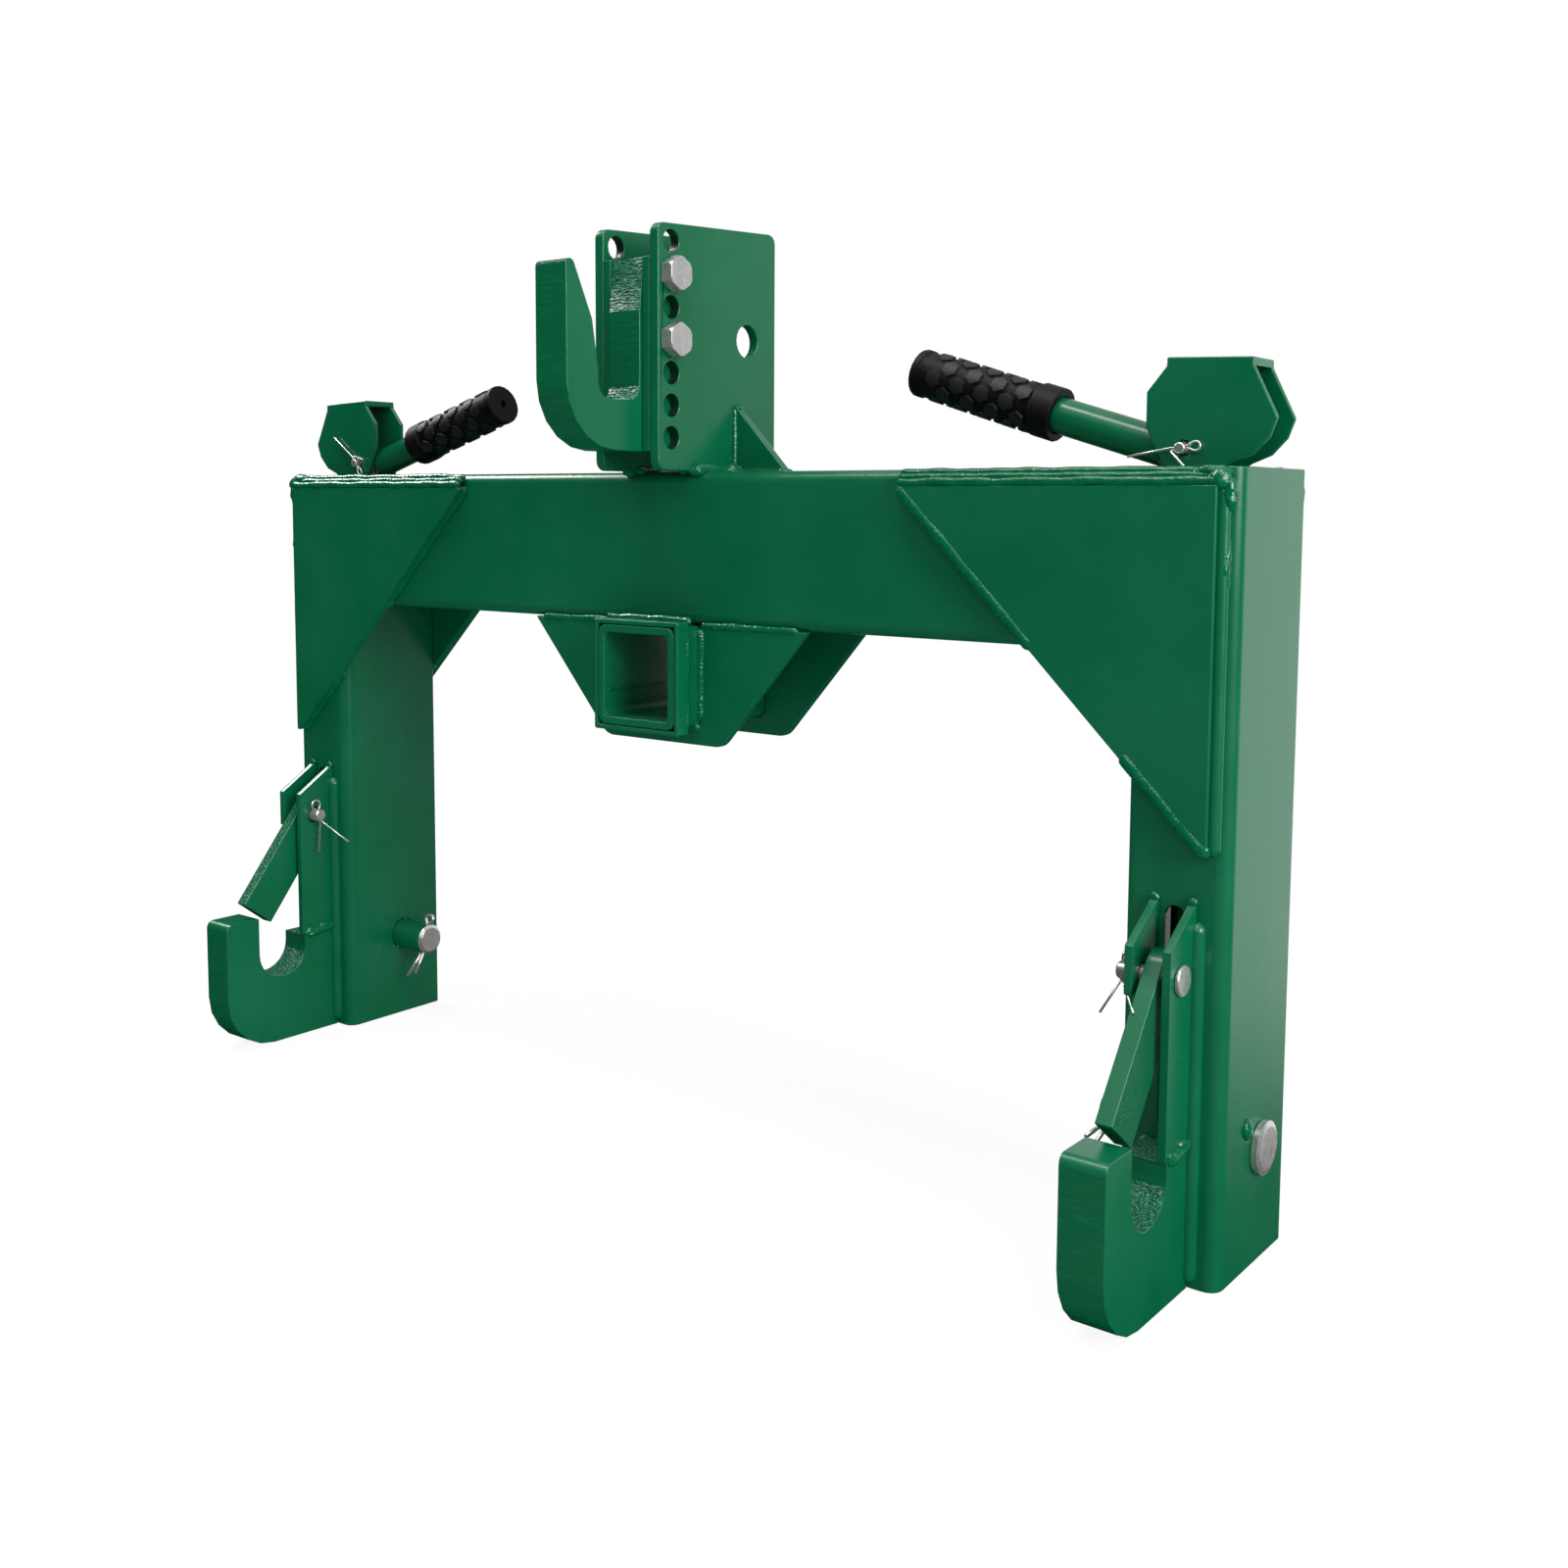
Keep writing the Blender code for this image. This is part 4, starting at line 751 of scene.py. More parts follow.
class HITCH_OT_hooks(bpy.types.Operator):
    """Paint the hooks, with their flame cut edges, and the guard plates"""

    bl_idname = "hitch.hooks"
    bl_label = "Hooks"

    def top_hook_paint(self, face):
        """Flame cut all round, smooth at the sides, and ground with painted glints on the chamfer, the top
        and the throat's floor, which face up.
        """
        if abs(face.normal.x) > 0.5:
            return 0
        throat_front, throat_back, floor_top = -0.064, -0.034, 0.466
        middle = face.calc_center_median()
        tip = high("top_hook").z - 0.008
        chamfer = middle.y > throat_back and middle.z > tip - 0.024 and face.normal.y < -0.6
        floor = throat_front < middle.y < throat_back and middle.z < floor_top and face.normal.z > 0.2
        top = middle.z > tip - 0.004 and face.normal.z > 0.2
        return 2 if chamfer or floor or top else 1

    def lower_hook_paint(self, face):
        """Flame cut all round, smooth at the sides, and rough in the throat's floor, which faces up and gets
        painted glints.
        """
        shoulder = 0.075
        if abs(face.normal.x) > 0.5 or face.calc_center_median().z > shoulder:
            return 0
        return 2 if face.normal.z > 0.35 else 1

    def mend_top_hook(self, shape):
        """The bottom of the top hook's throat is squarer than a half circle, and its tip is round."""
        metal = settings().metal
        hook_low, hook_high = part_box("top_hook")
        centre_y, centre_z = hook_low.y + 0.0429, hook_low.z + 0.0468
        radius, power, on_arc = 0.0173, metal.throat_square, 0.0004
        for vert in shape.verts:
            along, down = vert.co.y - centre_y, vert.co.z - centre_z
            if down < 0.0 and abs(math.hypot(along, down) - radius) < on_arc:
                vert.co.y = centre_y + math.copysign(abs(along / radius) ** power, along) * radius
                vert.co.z = centre_z - abs(down / radius) ** power * radius
        tip_z, tip_width = hook_high.z - 0.008, 0.0058
        soften(shape, [(hook_low.y + tip_width, tip_z, metal.tip_round),
                       (hook_low.y, tip_z, metal.tip_round * 1.5)])

    def execute(self, context):
        metal = settings().metal
        edge = metal.edge * 0.6
        cut = ("green_enamel", "flame_cut_enamel")
        # The top hook's upward faces get painted glints.
        dressed("top_hook", (*cut, "ground_glint_enamel"), edge, self.mend_top_hook,
                self.top_hook_paint)
        for _, label in SIDES:
            node = "lower_hook_" + label
            horn = [(low(node).y, high(node).z, metal.horn_round)]
            # The lower hook's upward throat floor gets painted glints.
            dressed(node, (*cut, "glint_speckled_enamel"), edge,
                    lambda shape, spots=horn: soften(shape, spots), self.lower_hook_paint)
        for _, label in SIDES:
            for kind in ("_long", "_short"):
                enamelled("latch_guard_" + label + kind, edge)
        return {"FINISHED"}


class HITCH_OT_frame_welds(bpy.types.Operator):
    """Lay the weld beads of the frame"""

    bl_idname = "hitch.frame_welds"
    bl_label = "Frame welds"

    def gusset_welds(self, side, label, face):
        """Beads along a gusset's slanted and upper edges, and lumps at its outer corner."""
        front = face == "front"
        node = "gusset_" + face + "_" + label
        box_low, box_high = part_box(node)
        outer, inner, upright = outer_x(node, side), inner_x(node, side), inner_x("upright_" + label, side)
        top, foot = box_high.z, box_low.z
        seat, crown = low("crossbar").z, high("crossbar").z
        plane = 0.0 if front else high("upright_" + label).y
        proud = box_low.y if front else box_high.y
        out = -1.0 if front else 1.0
        slope = (top - foot) / abs(outer - inner)
        leave = inner + side * (top - seat) / slope
        enter = foot + abs(outer - upright) * slope
        near = plane + (proud - plane) * (0.1 if side < 0 else 0.6)
        radius = 0.0033 if side < 0 else 0.0043
        seed = (3.0 if front else 5.0) + side
        beads = [((inner, near, top), (leave, near, seat), seed + 20.0, radius),
                 ((upright, near, enter), (outer, near, foot), seed + 30.0, radius)]
        for index in range(3):
            share = 0.22 + 0.27 * index
            height = top + (crown - top) * share
            depth = proud + (plane - proud) * share
            beads.append(((inner, depth, height), (outer, depth, height), seed + 40.0 + index, 0.0025))
        blobs = [((outer + side * across, plane + out * forward, height), size, seed + side)
                 for across, forward, height, size, seed in (
                     (-0.0050, 0.0020, crown - 0.0026, (0.0100, 0.0050, 0.0036), 1.0),
                     (-0.0004, 0.0042, top + 0.0028, (0.0056, 0.0046, 0.0052), 4.0),
                     (0.0040, 0.0015, top - 0.0045, (0.0042, 0.0042, 0.0085), 2.0),
                     (0.0025, 0.0015, top - 0.0400, (0.0032, 0.0040, 0.0180), 3.0))]
        weld_piece("gusset_weld_" + face + "_" + label, beads, blobs)
        rim, rise = outer + side * 0.0016, plane + (proud - plane) * 0.3
        smooth_weld_piece("gusset_edge_weld_" + face + "_" + label,
                          [((rim, rise, top), (rim, rise, foot), 13.0 + side, 0.0038)])

    def mast_welds(self, side, label):
        """Beads round the foot of a mast plate and its rib, and lumps where they start and end."""
        plate, rib = "mast_plate_" + label, "mast_rib_" + label
        inner, outer, rib_out = inner_x(plate, side), outer_x(plate, side), outer_x(rib, side)
        top, rib_top = high("crossbar").z, high(rib).z
        front, back = low("crossbar").y + 0.004, high(plate).y
        rib_y = (low(rib).y + high(rib).y) / 2
        faces = (low(rib).y, high(rib).y)
        seed = 40.0 + side
        beads = [((outer, front, top + 0.0005), (outer, back, top + 0.0005), seed, 0.0046),
                 ((inner, front, top), (inner, back, top), seed + 2.0, 0.003)]
        beads += [((outer, face, top), (rib_out, face, top), seed + 4.0 + 2.0 * index, 0.0028)
                  for index, face in enumerate(faces)]
        beads += [((outer, face, top), (outer, face, rib_top), seed + 8.0 + 2.0 * index, 0.0024)
                  for index, face in enumerate(faces)]
        toe = outer + side * 0.002
        blobs = [((toe, front - 0.002, top + 0.001), (0.0050, 0.0060, 0.0038), 1.0),
                 ((toe, rib_y - 0.007, top + 0.0012), (0.0055, 0.0070, 0.0045), 2.0),
                 ((rib_out, rib_y, top + 0.0006), (0.0034, 0.0050, 0.0018), 3.0),
                 ((toe - side * 0.0008, rib_y, rib_top - 0.0006), (0.0024, 0.0040, 0.0026), 4.0),
                 ((inner - side * 0.001, front - 0.003, top + 0.0008), (0.0030, 0.0040, 0.0024), 5.0)]
        weld_piece("mast_weld_" + label, beads, blobs)

    def hook_welds(self, side, label):
        """Beads down a lower hook and its guard plates, and the tacks that hold the guards."""
        hook_low, hook_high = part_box("lower_hook_" + label)
        guards = [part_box("latch_guard_" + label + kind) for kind in ("_long", "_short")]
        long_low, long_high = guards[0]
        short_low, _ = guards[1]
        shoulder, guard_top = long_low.z, long_high.z
        runs = [(hook_low.x, 0.003, shoulder, 60.0, 0.0045),
                (hook_high.x, 0.003, guard_top - 0.010, 62.0, 0.0052),
                (short_low.x, short_low.z, guard_top - 0.004, 64.0, 0.003)]
        smooth_weld_piece("hook_weld_" + label, [((x, 0.0, start), (x, 0.0, end), seed + side, radius)
                                                 for x, start, end, seed, radius in runs])
        flush = long_high.x - 0.0004
        beads = [((flush, long_low.y + 0.004, shoulder - 0.001), (flush, -0.003, shoulder + 0.003),
                  66.0 + side, 0.0032)]
        blobs = [((flush + 0.0004, -0.011, shoulder + 0.004), (0.0024, 0.0045, 0.0030), 6.0 + side),
                 ((flush + 0.0004, long_low.y + 0.007, shoulder + 0.001), (0.0024, 0.0045, 0.0040),
                  7.0 + side),
                 ((flush + 0.002, -0.0005, shoulder + 0.005), (0.0022, 0.0020, 0.0024), 8.0 + side)]
        for guard_low, guard_high in guards:
            middle_x = (guard_low.x + guard_high.x) / 2
            blobs.append(((middle_x, -0.0014, guard_high.z - 0.0004), (0.0028, 0.0020, 0.0026),
                          9.0 + middle_x * 50.0))
        if side > 0:
            pin_low, pin_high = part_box("draft_pin_" + label)
            blobs.append(((outer_x("upright_" + label, side) + 0.0002, pin_low.y - 0.0045,
                           pin_high.z + 0.0006), (0.0026, 0.0052, 0.0054), 11.0))
        weld_piece("hook_tacks_" + label, beads, blobs)

    def crossbar_welds(self, side, label):
        """Beads along the seam of the crossbar and an upright."""
        seam, back = inner_x("upright_" + label, side), high("upright_" + label).y
        top, foot = high("crossbar").z, low("crossbar").z
        beads = [((seam, 0.004, foot), (seam, back - 0.004, foot), 70.0 + side, 0.0032)]
        for seed, y in ((72.0, 0.002), (74.0, back - 0.002)):
            beads.append(((seam, y, foot + 0.004), (seam, y, top - 0.004), seed + side, 0.0026))
        weld_piece("crossbar_weld_" + label, beads)

    def execute(self, context):
        for side, label in SIDES:
            for face in ("front", "rear"):
                self.gusset_welds(side, label, face)
            self.mast_welds(side, label)
            self.hook_welds(side, label)
            self.crossbar_welds(side, label)
        return {"FINISHED"}


class HITCH_OT_receiver_welds(bpy.types.Operator):
    """Lay the weld beads of the receiver and its hanger plates"""

    bl_idname = "hitch.receiver_welds"
    bl_label = "Receiver welds"

    def execute(self, context):
        tube_low, tube_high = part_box("receiver_tube")
        collar_low, collar_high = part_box("receiver_collar")
        foot, bracket_x = low("crossbar").z, high("receiver_bracket_front").x
        behind, back = collar_high.y, high("receiver_bracket_rear").y
        front_beads, rear_beads = [], []
        for side, _ in SIDES:
            edge, reach = tube_high.x * side, bracket_x * side
            front_beads += [
                ((edge, 0.0, tube_low.z + 0.004), (edge, 0.0, foot - 0.002), 80.0 + side, 0.003),
                ((edge, behind, tube_low.z), (edge, behind, tube_high.z), 82.0 + side, 0.0036),
                ((reach - side * 0.007, 0.0015, foot - 0.0004), (edge, 0.0015, foot), 84.0 + side, 0.0026),
            ]
            rear_beads += [
                ((edge, back, tube_low.z + 0.004), (edge, back, foot - 0.002), 90.0 + side, 0.003),
                ((reach, back, foot), (edge, back, foot), 92.0 + side, 0.003),
            ]
        inside, seam_z = tube_low.x + settings().metal.wall, tube_low.z + 0.021
        crest_y, crest_z = behind + 0.002, collar_high.z + 0.0004
        front_beads += [
            ((collar_low.x, crest_y, crest_z), (collar_high.x, crest_y, crest_z), 87.0, 0.0026),
            ((inside, tube_low.y + 0.003, seam_z), (inside, tube_high.y - 0.003, seam_z), 85.0, 0.0009),
        ]
        for beads, y, z, seed, radius in ((front_beads, 0.0, tube_low.z, 86.0, 0.003),
                                          (front_beads, behind, tube_low.z, 88.0, 0.0036),
                                          (front_beads, behind, tube_high.z, 89.0, 0.0036),
                                          (rear_beads, back, tube_low.z, 94.0, 0.003)):
            beads.append(((tube_low.x, y, z), (tube_high.x, y, z), seed, radius))
        weld_piece("receiver_weld_front", front_beads)
        weld_piece("receiver_weld_rear", rear_beads)
        return {"FINISHED"}


class HITCH_OT_fasteners(bpy.types.Operator):
    """Plate the bolts and the pins"""

    bl_idname = "hitch.fasteners"
    bl_label = "Fasteners"

    def chamfer_end(self, node, side, size):
        """Chamfer the rim of a head's outer face."""
        face_x = outer_x(node, side)

        def mend(shape):
            """Cut the rim back."""
            edges = [edge for edge in shape.edges
                     if all(abs(vert.co.x - face_x) < IN_FACE for vert in edge.verts)]
            cut_back(shape, edges, size, 2)
        return mend

    def cut_corners(self, node, size):
        """Chamfer a bolt head's corners at its outer face."""
        face_x = high(node).x

        def mend(shape):
            """Cut the corners back."""
            corners = [vert for vert in shape.verts if abs(vert.co.x - face_x) < IN_FACE]
            cut_back(shape, corners, size, 1, "VERTICES")
        return mend

    def shank_paint(self, side, label):
        """A draft pin's shank is green like the frame; its head and its end past the split pin are bare."""
        head = abs(outer_x("upright_" + label, side)) - 0.0005
        bare = abs(inner_x("draft_pin_" + label, side)) + 0.0085

        def paint(face):
            """Bright or green, by how far out the face is."""
            reach = face.calc_center_median().x * side
            return 0 if reach > head or reach < bare else 1
        return paint

    def execute(self, context):
        metal = settings().metal
        edge, chamfer, bright = metal.small_edge, metal.head_round * 1.6, ("bright_zinc",)
        for row in ("lower", "upper"):
            node = "top_hook_bolt_" + row
            dressed(node, bright, edge, self.cut_corners(node, chamfer))
        for side, label in SIDES:
            node = "draft_pin_" + label
            dressed(node, ("bright_zinc", "green_enamel"), edge,
                    self.chamfer_end(node, side, chamfer), self.shank_paint(side, label))
            node = "latch_pin_" + label
            dressed(node, bright, edge, self.chamfer_end(node, side, metal.head_round * 0.6))
            dressed("lever_pin_" + label, bright, edge)
        return {"FINISHED"}


# A split pin's kind and side, the ends of its legs, its direction from the eye to the legs, the
# direction of the eye's width, the radius of the pin it crosses, and how long and wide its eye is.
# The ends are measured from its middle, and those of the latch pins from the object's origin.
SPLIT_PINS = (
    ("lever", "left", ((0.0092, -0.0006, 0.0024), (-0.0238, -0.0006, 0.0191)),
     (-0.55, 0.0, 0.83), (0.83, 0.0, 0.55), 0.0046, (1.0, 1.0)),
    ("latch", "left", ((-0.3035, -0.0075, 0.1443), (-0.3236, -0.0190, 0.1357)),
     (0.0, 0.3, -0.95), (0.0, 0.95, 0.3), 0.0042, (1.35, 1.7)),
    ("draft", "left", ((0.0034, -0.0130, -0.0240), (-0.0012, -0.0165, -0.0262)),
     (0.0, -0.30, -0.95), (1.0, 0.0, 0.0), 0.0112, (0.6, 1.0)),
    ("lever", "right", ((0.0075, -0.0128, -0.0095), (-0.0288, -0.0006, -0.0039)),
     (-1.0, 0.0, -0.12), (0.1, 0.0, -1.0), 0.0046, (1.0, 1.1)),
    ("latch", "right", ((0.3195, -0.0335, 0.1445), (0.3402, -0.0400, 0.1497)),
     (-0.1, 0.0, -1.0), (0.0, -1.0, 0.0), 0.0040, (1.0, 1.0)),
    ("draft", "right", ((0.0030, -0.0330, -0.0080), (-0.0010, -0.0350, -0.0040)),
     (0.0, -0.97, -0.25), (1.0, 0.0, 0.0), 0.0112, (0.6, 1.0)),
)


class HITCH_OT_split_pins(bpy.types.Operator):
    """Bend the split pins of the levers, latches and draft pins"""

    bl_idname = "hitch.split_pins"
    bl_label = "Split pins"

    def split_pin(self, kind, label, ends, along, side, radius, eye):
        """Bent wire in its cross hole; the lever pins run along Y and the other pins along X."""
        pins = settings().pins
        wire = pins.thick_wire if kind == "draft" else pins.wire
        node, axis = kind + "_cotter_" + label, 1 if kind == "lever" else 0
        centre = (low(kind + "_pin_" + label) + high(kind + "_pin_" + label)) / 2
        centre[axis] = ((low(node) + high(node)) / 2)[axis]
        origin = Vector() if kind == "latch" else centre
        tips = [origin + Vector(end) for end in ends]
        along, side = Vector(along).normalized(), Vector(side).normalized()
        half, out = wire * 0.5, radius + wire * 0.8
        length, width = wire * 4.2 * eye[0], wire * 1.5 * eye[1]
        marks = [(out, half), (-radius, half), (-radius - length * 0.35, width),
                 (-radius - length * 0.8, width), (-radius - length, width * 0.45)]
        marks += [(reach, -offset) for reach, offset in reversed(marks)]
        corners = [centre + along * reach + side * offset for reach, offset in marks]
        path = bend([tips[0], *corners, tips[1]], wire * 1.1)
        shape = bmesh.new()
        sweep(shape, path, [half] * len(path), pins.sides)
        name = node + "_wire"
        body = "lever_" + label if kind == "lever" else "frame"
        keep(name, close_up(name, shape), body, ("bright_zinc",), (node,))

    def execute(self, context):
        for pin in SPLIT_PINS:
            self.split_pin(*pin)
        return {"FINISHED"}


class HITCH_OT_latches(bpy.types.Operator):
    """Finish the latches, lock rods, springs and their small pieces"""

    bl_idname = "hitch.latches"
    bl_label = "Latches"

    def press_spring(self, spring, label):
        """Give the spring a mesh of its own."""
        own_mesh(spring)

    def left_paint(self, face):
        """The left latch is rough on its slanted front edges, which face up and get painted glints."""
        slanted = abs(face.normal.x) < 0.5 and face.normal.y < -0.3 and face.normal.z > 0.2
        return 2 if slanted else 0

    def right_paint(self, face):
        """The right latch is rough on its right side."""
        return 1 if face.normal.x > 0.5 else 0

    def execute(self, context):
        edge = settings().metal.edge
        for side, label in SIDES:
            # The left latch's upward front edges get painted glints.
            dressed("latch_" + label, ("green_enamel", "rough_enamel", "glint_speckled_enamel"),
                    edge * 0.6, paint=self.right_paint if side > 0 else self.left_paint)
            for kind in ("lock_rod_", "link_pin_"):
                dressed(kind + label, ("dark_steel",), edge * 0.3)
            self.press_spring(dressed("spring_" + label, ("dark_steel",), edge * 0.1), label)
            dressed("spring_washer_" + label, ("bright_zinc",), edge * 0.2)
        return {"FINISHED"}


class HITCH_OT_levers(bpy.types.Operator):
    """Finish the lever heads, bars and rubber grips"""

    bl_idname = "hitch.levers"
    bl_label = "Levers"

    def grip_axis(self, label):
        """Where a grip's collar starts, its direction away from the head, and its length."""
        points, bar_points = ([vert.co for vert in FRAME["nodes"][kind + label].data.vertices]
                              for kind in ("lever_grip_", "lever_bar_"))
        centre = sum(points, Vector()) / len(points)
        lean = sum(bar_points, Vector()) / len(bar_points)
        along = (centre - lean).normalized()
        reaches = [(point - lean).dot(along) for point in points]
        first, last = min(reaches), max(reaches)
        return lean + along * first, along, last - first

    def add_pad(self, shape, grip, start, along, up, place, angle):
        """Add one raised pad, wrapped round the grip."""
        flat = Matrix.Translation((place, 0.0, 0.0))
        ring = bmesh.ops.create_circle(shape, cap_ends=True, segments=6, radius=grip.pad / math.sqrt(3.0),
                                       matrix=flat)["verts"]
        faces = list({face for vert in ring for face in vert.link_faces})
        top = verts_of(bmesh.ops.extrude_face_region(shape, geom=faces)["geom"])
        bmesh.ops.translate(shape, verts=top, vec=(0.0, 0.0, grip.raise_by + PAD_ROOT))
        shrink = flat @ Matrix.Diagonal((0.93, 0.93, 1.0, 1.0))
        bmesh.ops.transform(shape, matrix=shrink @ flat.inverted(), verts=top)
        pad = set(ring) | set(top)
        geometry = list(pad) + [edge for vert in pad for edge in vert.link_edges]
        geometry += [face for vert in pad for face in vert.link_faces]
        for share in (-0.30, -0.1, 0.1, 0.30):
            cut = bmesh.ops.bisect_plane(shape, geom=list(set(geometry)), dist=0.0000001,
                                         plane_co=(0.0, share * grip.pad, 0.0), plane_no=(0.0, 1.0, 0.0))
            geometry = cut["geom"]
        for vert in set(verts_of(geometry)):
            turn = angle + vert.co.y / grip.body
            reach = grip.body - PAD_ROOT + vert.co.z
            vert.co = start + along * vert.co.x + (Y_AXIS * math.cos(turn) + up * math.sin(turn)) * reach

    def pads(self, label):
        """The grip's raised six sided pads, in staggered rows."""
        grip = settings().grip
        start, along, length = self.grip_axis(label)
        up = along.cross(Y_AXIS).normalized()
        gap = 0.0004
        shape = bmesh.new()
        for row in range(grip.around):
            angle = 2 * math.pi * row / grip.around
            place = grip.collar + grip.pad * 0.5 + gap + (grip.pitch * 0.5 if row % 2 else 0.0)
            while place + grip.pad * 0.5 < length - grip.flange:
                self.add_pad(shape, grip, start, along, up, place, angle)
                place += grip.pitch
        name = "grip_pads_" + label
        # The pads get the lighter rubber, painted light on the raised pads.
        keep(name, close_up(name, shape, False), "lever_" + label, ("pad_rubber",))

    def execute(self, context):
        edge = settings().metal.edge
        for _, label in SIDES:
            enamelled("lever_head_" + label, edge)
            enamelled("lever_bar_" + label, edge * 0.5)
            dressed("lever_grip_" + label, ("grip_rubber",), edge * 0.9)
            self.pads(label)
        return {"FINISHED"}


class HITCH_OT_stage(bpy.types.Operator):
    """Set up the floor, the backdrop, the lamps and the camera"""

    bl_idname = "hitch.stage"
    bl_label = "Stage"

    def mirrored_studio(self, tree, direction):
        """What shiny faces mirror: a white wall behind the object, a white ceiling, a dim room in front."""
        parts = tree.nodes.new("ShaderNodeSeparateXYZ")
        feed(tree, direction, parts.inputs["Vector"])
        back, up = parts.outputs["Y"], parts.outputs["Z"]
        wall = math_node(tree, "MULTIPLY", ramp(tree, back, 0.52, 0.90, soft=True),
                         ramp(tree, up, -0.37, -0.27, soft=True))
        post = math_node(tree, "SUBTRACT", ramp(tree, back, 0.722, 0.738, soft=True),
                         ramp(tree, back, 0.755, 0.771, soft=True))
        wall = math_node(tree, "MULTIPLY", wall, math_node(tree, "SUBTRACT", 1.0, post))
        ceiling = math_node(tree, "MULTIPLY", ramp(tree, up, 0.45, 0.8, soft=True), 0.8)
        return math_node(tree, "MAXIMUM", wall, ceiling)

    def mirrored_ray(self, tree):
        """The kinds of ray, and whether a ray comes from a shiny or a clear face."""
        rays = tree.nodes.new("ShaderNodeLightPath").outputs
        return rays, math_node(tree, "MAXIMUM", rays["Is Glossy Ray"], rays["Is Transmission Ray"])

    def mix_shaders(self, tree, factor, first, second):
        """Blend two shaders."""
        node = tree.nodes.new("ShaderNodeMixShader")
        for target, source in zip(node.inputs, (factor, first, second)):
            feed(tree, source, target)
        return node.outputs["Shader"]

    def backdrop_material(self):
        """White floor: the camera sees it white with a faint shade, and shiny faces mirror the room."""
        stage = settings().stage
        tree, shader, vector = start_material("studio_white")
        shader.inputs["Base Color"].default_value = (*stage.backdrop, 1.0)
        shader.inputs["Roughness"].default_value = 0.9
        shader.inputs["Specular IOR Level"].default_value = 0.0
        rays, mirrored = self.mirrored_ray(tree)
        away = tree.nodes.new("ShaderNodeVectorMath")
        away.operation = "LENGTH"
        feed(tree, vector, away.inputs[0])
        far = ramp(tree, away.outputs["Value"], 0.6, 1.5, soft=True)
        near = math_node(tree, "MULTIPLY", math_node(tree, "SUBTRACT", 1.0, far), stage.shade)
        glow = tree.nodes.new("ShaderNodeEmission")
        glow.inputs["Color"].default_value = WHITE
        feed(tree, rays["Is Camera Ray"], glow.inputs["Strength"])
        seen = math_node(tree, "MULTIPLY", rays["Is Camera Ray"], math_node(tree, "SUBTRACT", 1.0, near))
        bounced = math_node(tree, "MULTIPLY", rays["Is Diffuse Ray"], 0.3)
        white = self.mix_shaders(tree, math_node(tree, "ADD", seen, bounced), shader.outputs["BSDF"],
                                 glow.outputs["Emission"])
        clear = tree.nodes.new("ShaderNodeBsdfTransparent").outputs["BSDF"]
        feed(tree, self.mix_shaders(tree, mirrored, white, clear),
             tree.nodes["Material Output"].inputs["Surface"])
        return bpy.data.materials["studio_white"]

    def floor(self):
        """A white floor just under the object."""
        below, half_width = 0.0005, 3.0
        shape = bmesh.new()
        bmesh.ops.create_grid(shape, x_segments=2, y_segments=2, size=half_width,
                              matrix=Matrix.Translation((0.0, 0.0, FRAME_LOW.z - below)))
        mesh = new_mesh("studio_floor", shape)
        mesh.materials.append(self.backdrop_material())
        new_object("studio_floor", mesh)

    def world(self):
        """White air: shiny faces mirror the studio, and the rest gets soft light from all round."""
        world = bpy.data.worlds.new("studio_air")
        bpy.context.scene.world = world
        world.use_nodes = True
        tree = world.node_tree
        back = tree.nodes["Background"]
        rays, mirrored = self.mirrored_ray(tree)
        direction = tree.nodes.new("ShaderNodeTexCoord").outputs["Generated"]
        reflected = math_node(tree, "MULTIPLY", mirrored, self.mirrored_studio(tree, direction))
        soft = math_node(tree, "MULTIPLY", rays["Is Diffuse Ray"], settings().stage.sky)
        light = math_node(tree, "ADD", math_node(tree, "ADD", reflected, soft), rays["Is Camera Ray"])
        back.inputs["Color"].default_value = WHITE
        feed(tree, light, back.inputs["Strength"])

    def lamp(self, name, place, power, size):
        """A rectangular lamp that faces the middle of the object."""
        data = bpy.data.lights.new(name, "AREA")
        data.shape = "RECTANGLE"
        data.size, data.size_y = size
        data.energy = power
        lamp = new_object(name, data)
        lamp.location = place
        target = (FRAME_LOW + FRAME_HIGH) / 2
        lamp.rotation_euler = (target - Vector(place)).to_track_quat("-Z", "Y").to_euler()

    def camera(self):
        """The camera of the photograph."""
        stage = settings().stage
        data = bpy.data.cameras.new("photo_camera")
        data.lens = stage.focal
        data.sensor_width = 36.0
        data.shift_x, data.shift_y = stage.shift
        data.clip_start, data.clip_end = 0.05, 60.0
        camera = new_object("photo_camera", data)
        ahead = Vector((-math.sin(stage.yaw) * math.cos(stage.pitch),
                        math.cos(stage.yaw) * math.cos(stage.pitch), -math.sin(stage.pitch)))
        level = Vector((math.cos(stage.yaw), math.sin(stage.yaw), 0.0))
        above = level.cross(ahead)
        right = level * math.cos(stage.roll) + above * math.sin(stage.roll)
        turn = Matrix((right, right.cross(ahead), -ahead)).transposed()
        camera.matrix_world = Matrix.Translation(Vector(stage.place)) @ turn.to_4x4()
        bpy.context.scene.camera = camera

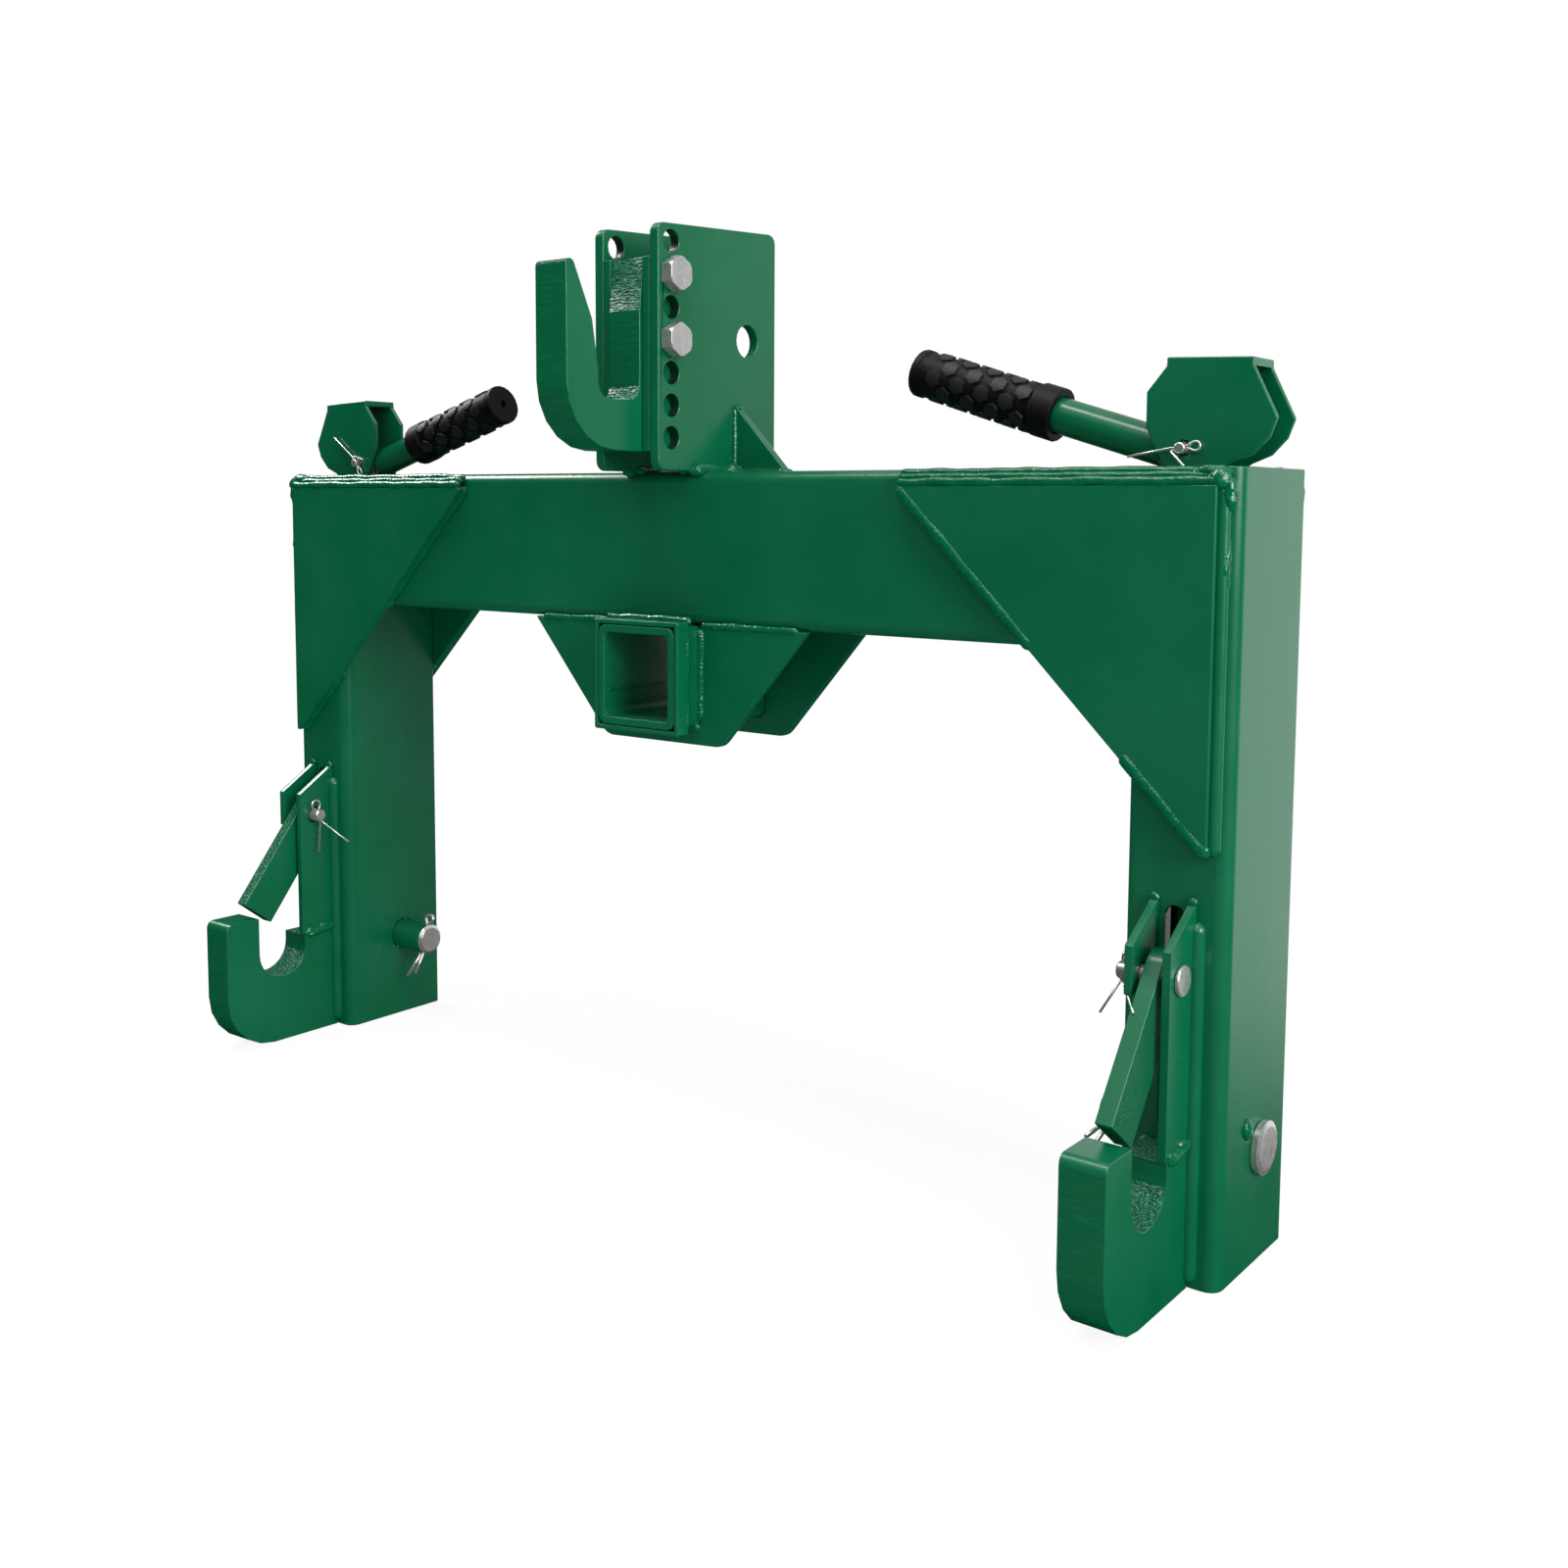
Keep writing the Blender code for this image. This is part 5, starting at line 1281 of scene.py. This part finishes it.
    def execute(self, context):
        stage = settings().stage
        self.floor()
        self.world()
        self.lamp("key_lamp", (-2.1, 0.05, 1.95), stage.key, (0.7, 0.7))
        self.lamp("front_lamp", (0.9, -2.2, 2.0), stage.front, (1.2, 1.2))
        self.lamp("side_lamp", (2.6, -0.5, 1.2), stage.fill, (1.4, 1.4))
        self.lamp("strip_lamp", (0.0, -0.55, 2.3), stage.strip, (2.4, 0.3))
        self.camera()
        bpy.context.scene.view_settings.view_transform = "Standard"
        return {"FINISHED"}


class HitchSettings(bpy.types.PropertyGroup):
    """All settings of the quick hitch."""

    paint: PointerProperty(type=HitchPaint, name="Paint", description="Colours and finish")
    metal: PointerProperty(type=HitchMetal, name="Metal", description="Edges and welds")
    pins: PointerProperty(type=HitchPins, name="Split pins", description="Wire of the split pins")
    grip: PointerProperty(type=HitchGrip, name="Grip", description="Rubber grips")
    stage: PointerProperty(type=HitchStage, name="Stage", description="Camera, floor and light")


OPERATORS = (
    HITCH_OT_frame_plates,
    HITCH_OT_hooks,
    HITCH_OT_frame_welds,
    HITCH_OT_receiver_welds,
    HITCH_OT_fasteners,
    HITCH_OT_split_pins,
    HITCH_OT_latches,
    HITCH_OT_levers,
    HITCH_OT_stage,
)


class HITCH_PT_sidebar(bpy.types.Panel):
    """The quick hitch's settings and steps"""

    bl_label = "Quick Hitch"
    bl_idname = "HITCH_PT_sidebar"
    bl_space_type = "VIEW_3D"
    bl_region_type = "UI"
    bl_category = "Quick Hitch"

    def draw(self, context):
        layout = self.layout
        for part in ("paint", "metal", "pins", "grip", "stage"):
            group, box = getattr(settings(), part), layout.box()
            for name in group.bl_rna.properties.keys():
                if name not in ("rna_type", "name"):
                    box.prop(group, name)
        for operator in OPERATORS:
            layout.operator(operator.bl_idname)


CLASSES = (HitchPaint, HitchMetal, HitchPins, HitchGrip, HitchStage, HitchSettings, *OPERATORS,
           HITCH_PT_sidebar)


def register():
    """Register the add-on's classes and its settings."""
    for cls in CLASSES:
        bpy.utils.register_class(cls)
    bpy.types.Scene.quick_hitch = PointerProperty(type=HitchSettings, name="Quick hitch",
                                                  description="Settings of the quick hitch")


def unregister():
    """Take the add-on's classes and its settings away."""
    del bpy.types.Scene.quick_hitch
    for cls in reversed(CLASSES):
        bpy.utils.unregister_class(cls)


def main():
    """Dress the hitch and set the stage."""
    register()
    for operator in OPERATORS:
        group, name = operator.bl_idname.split(".")
        getattr(getattr(bpy.ops, group), name)()


if __name__ == "__main__":
    main()
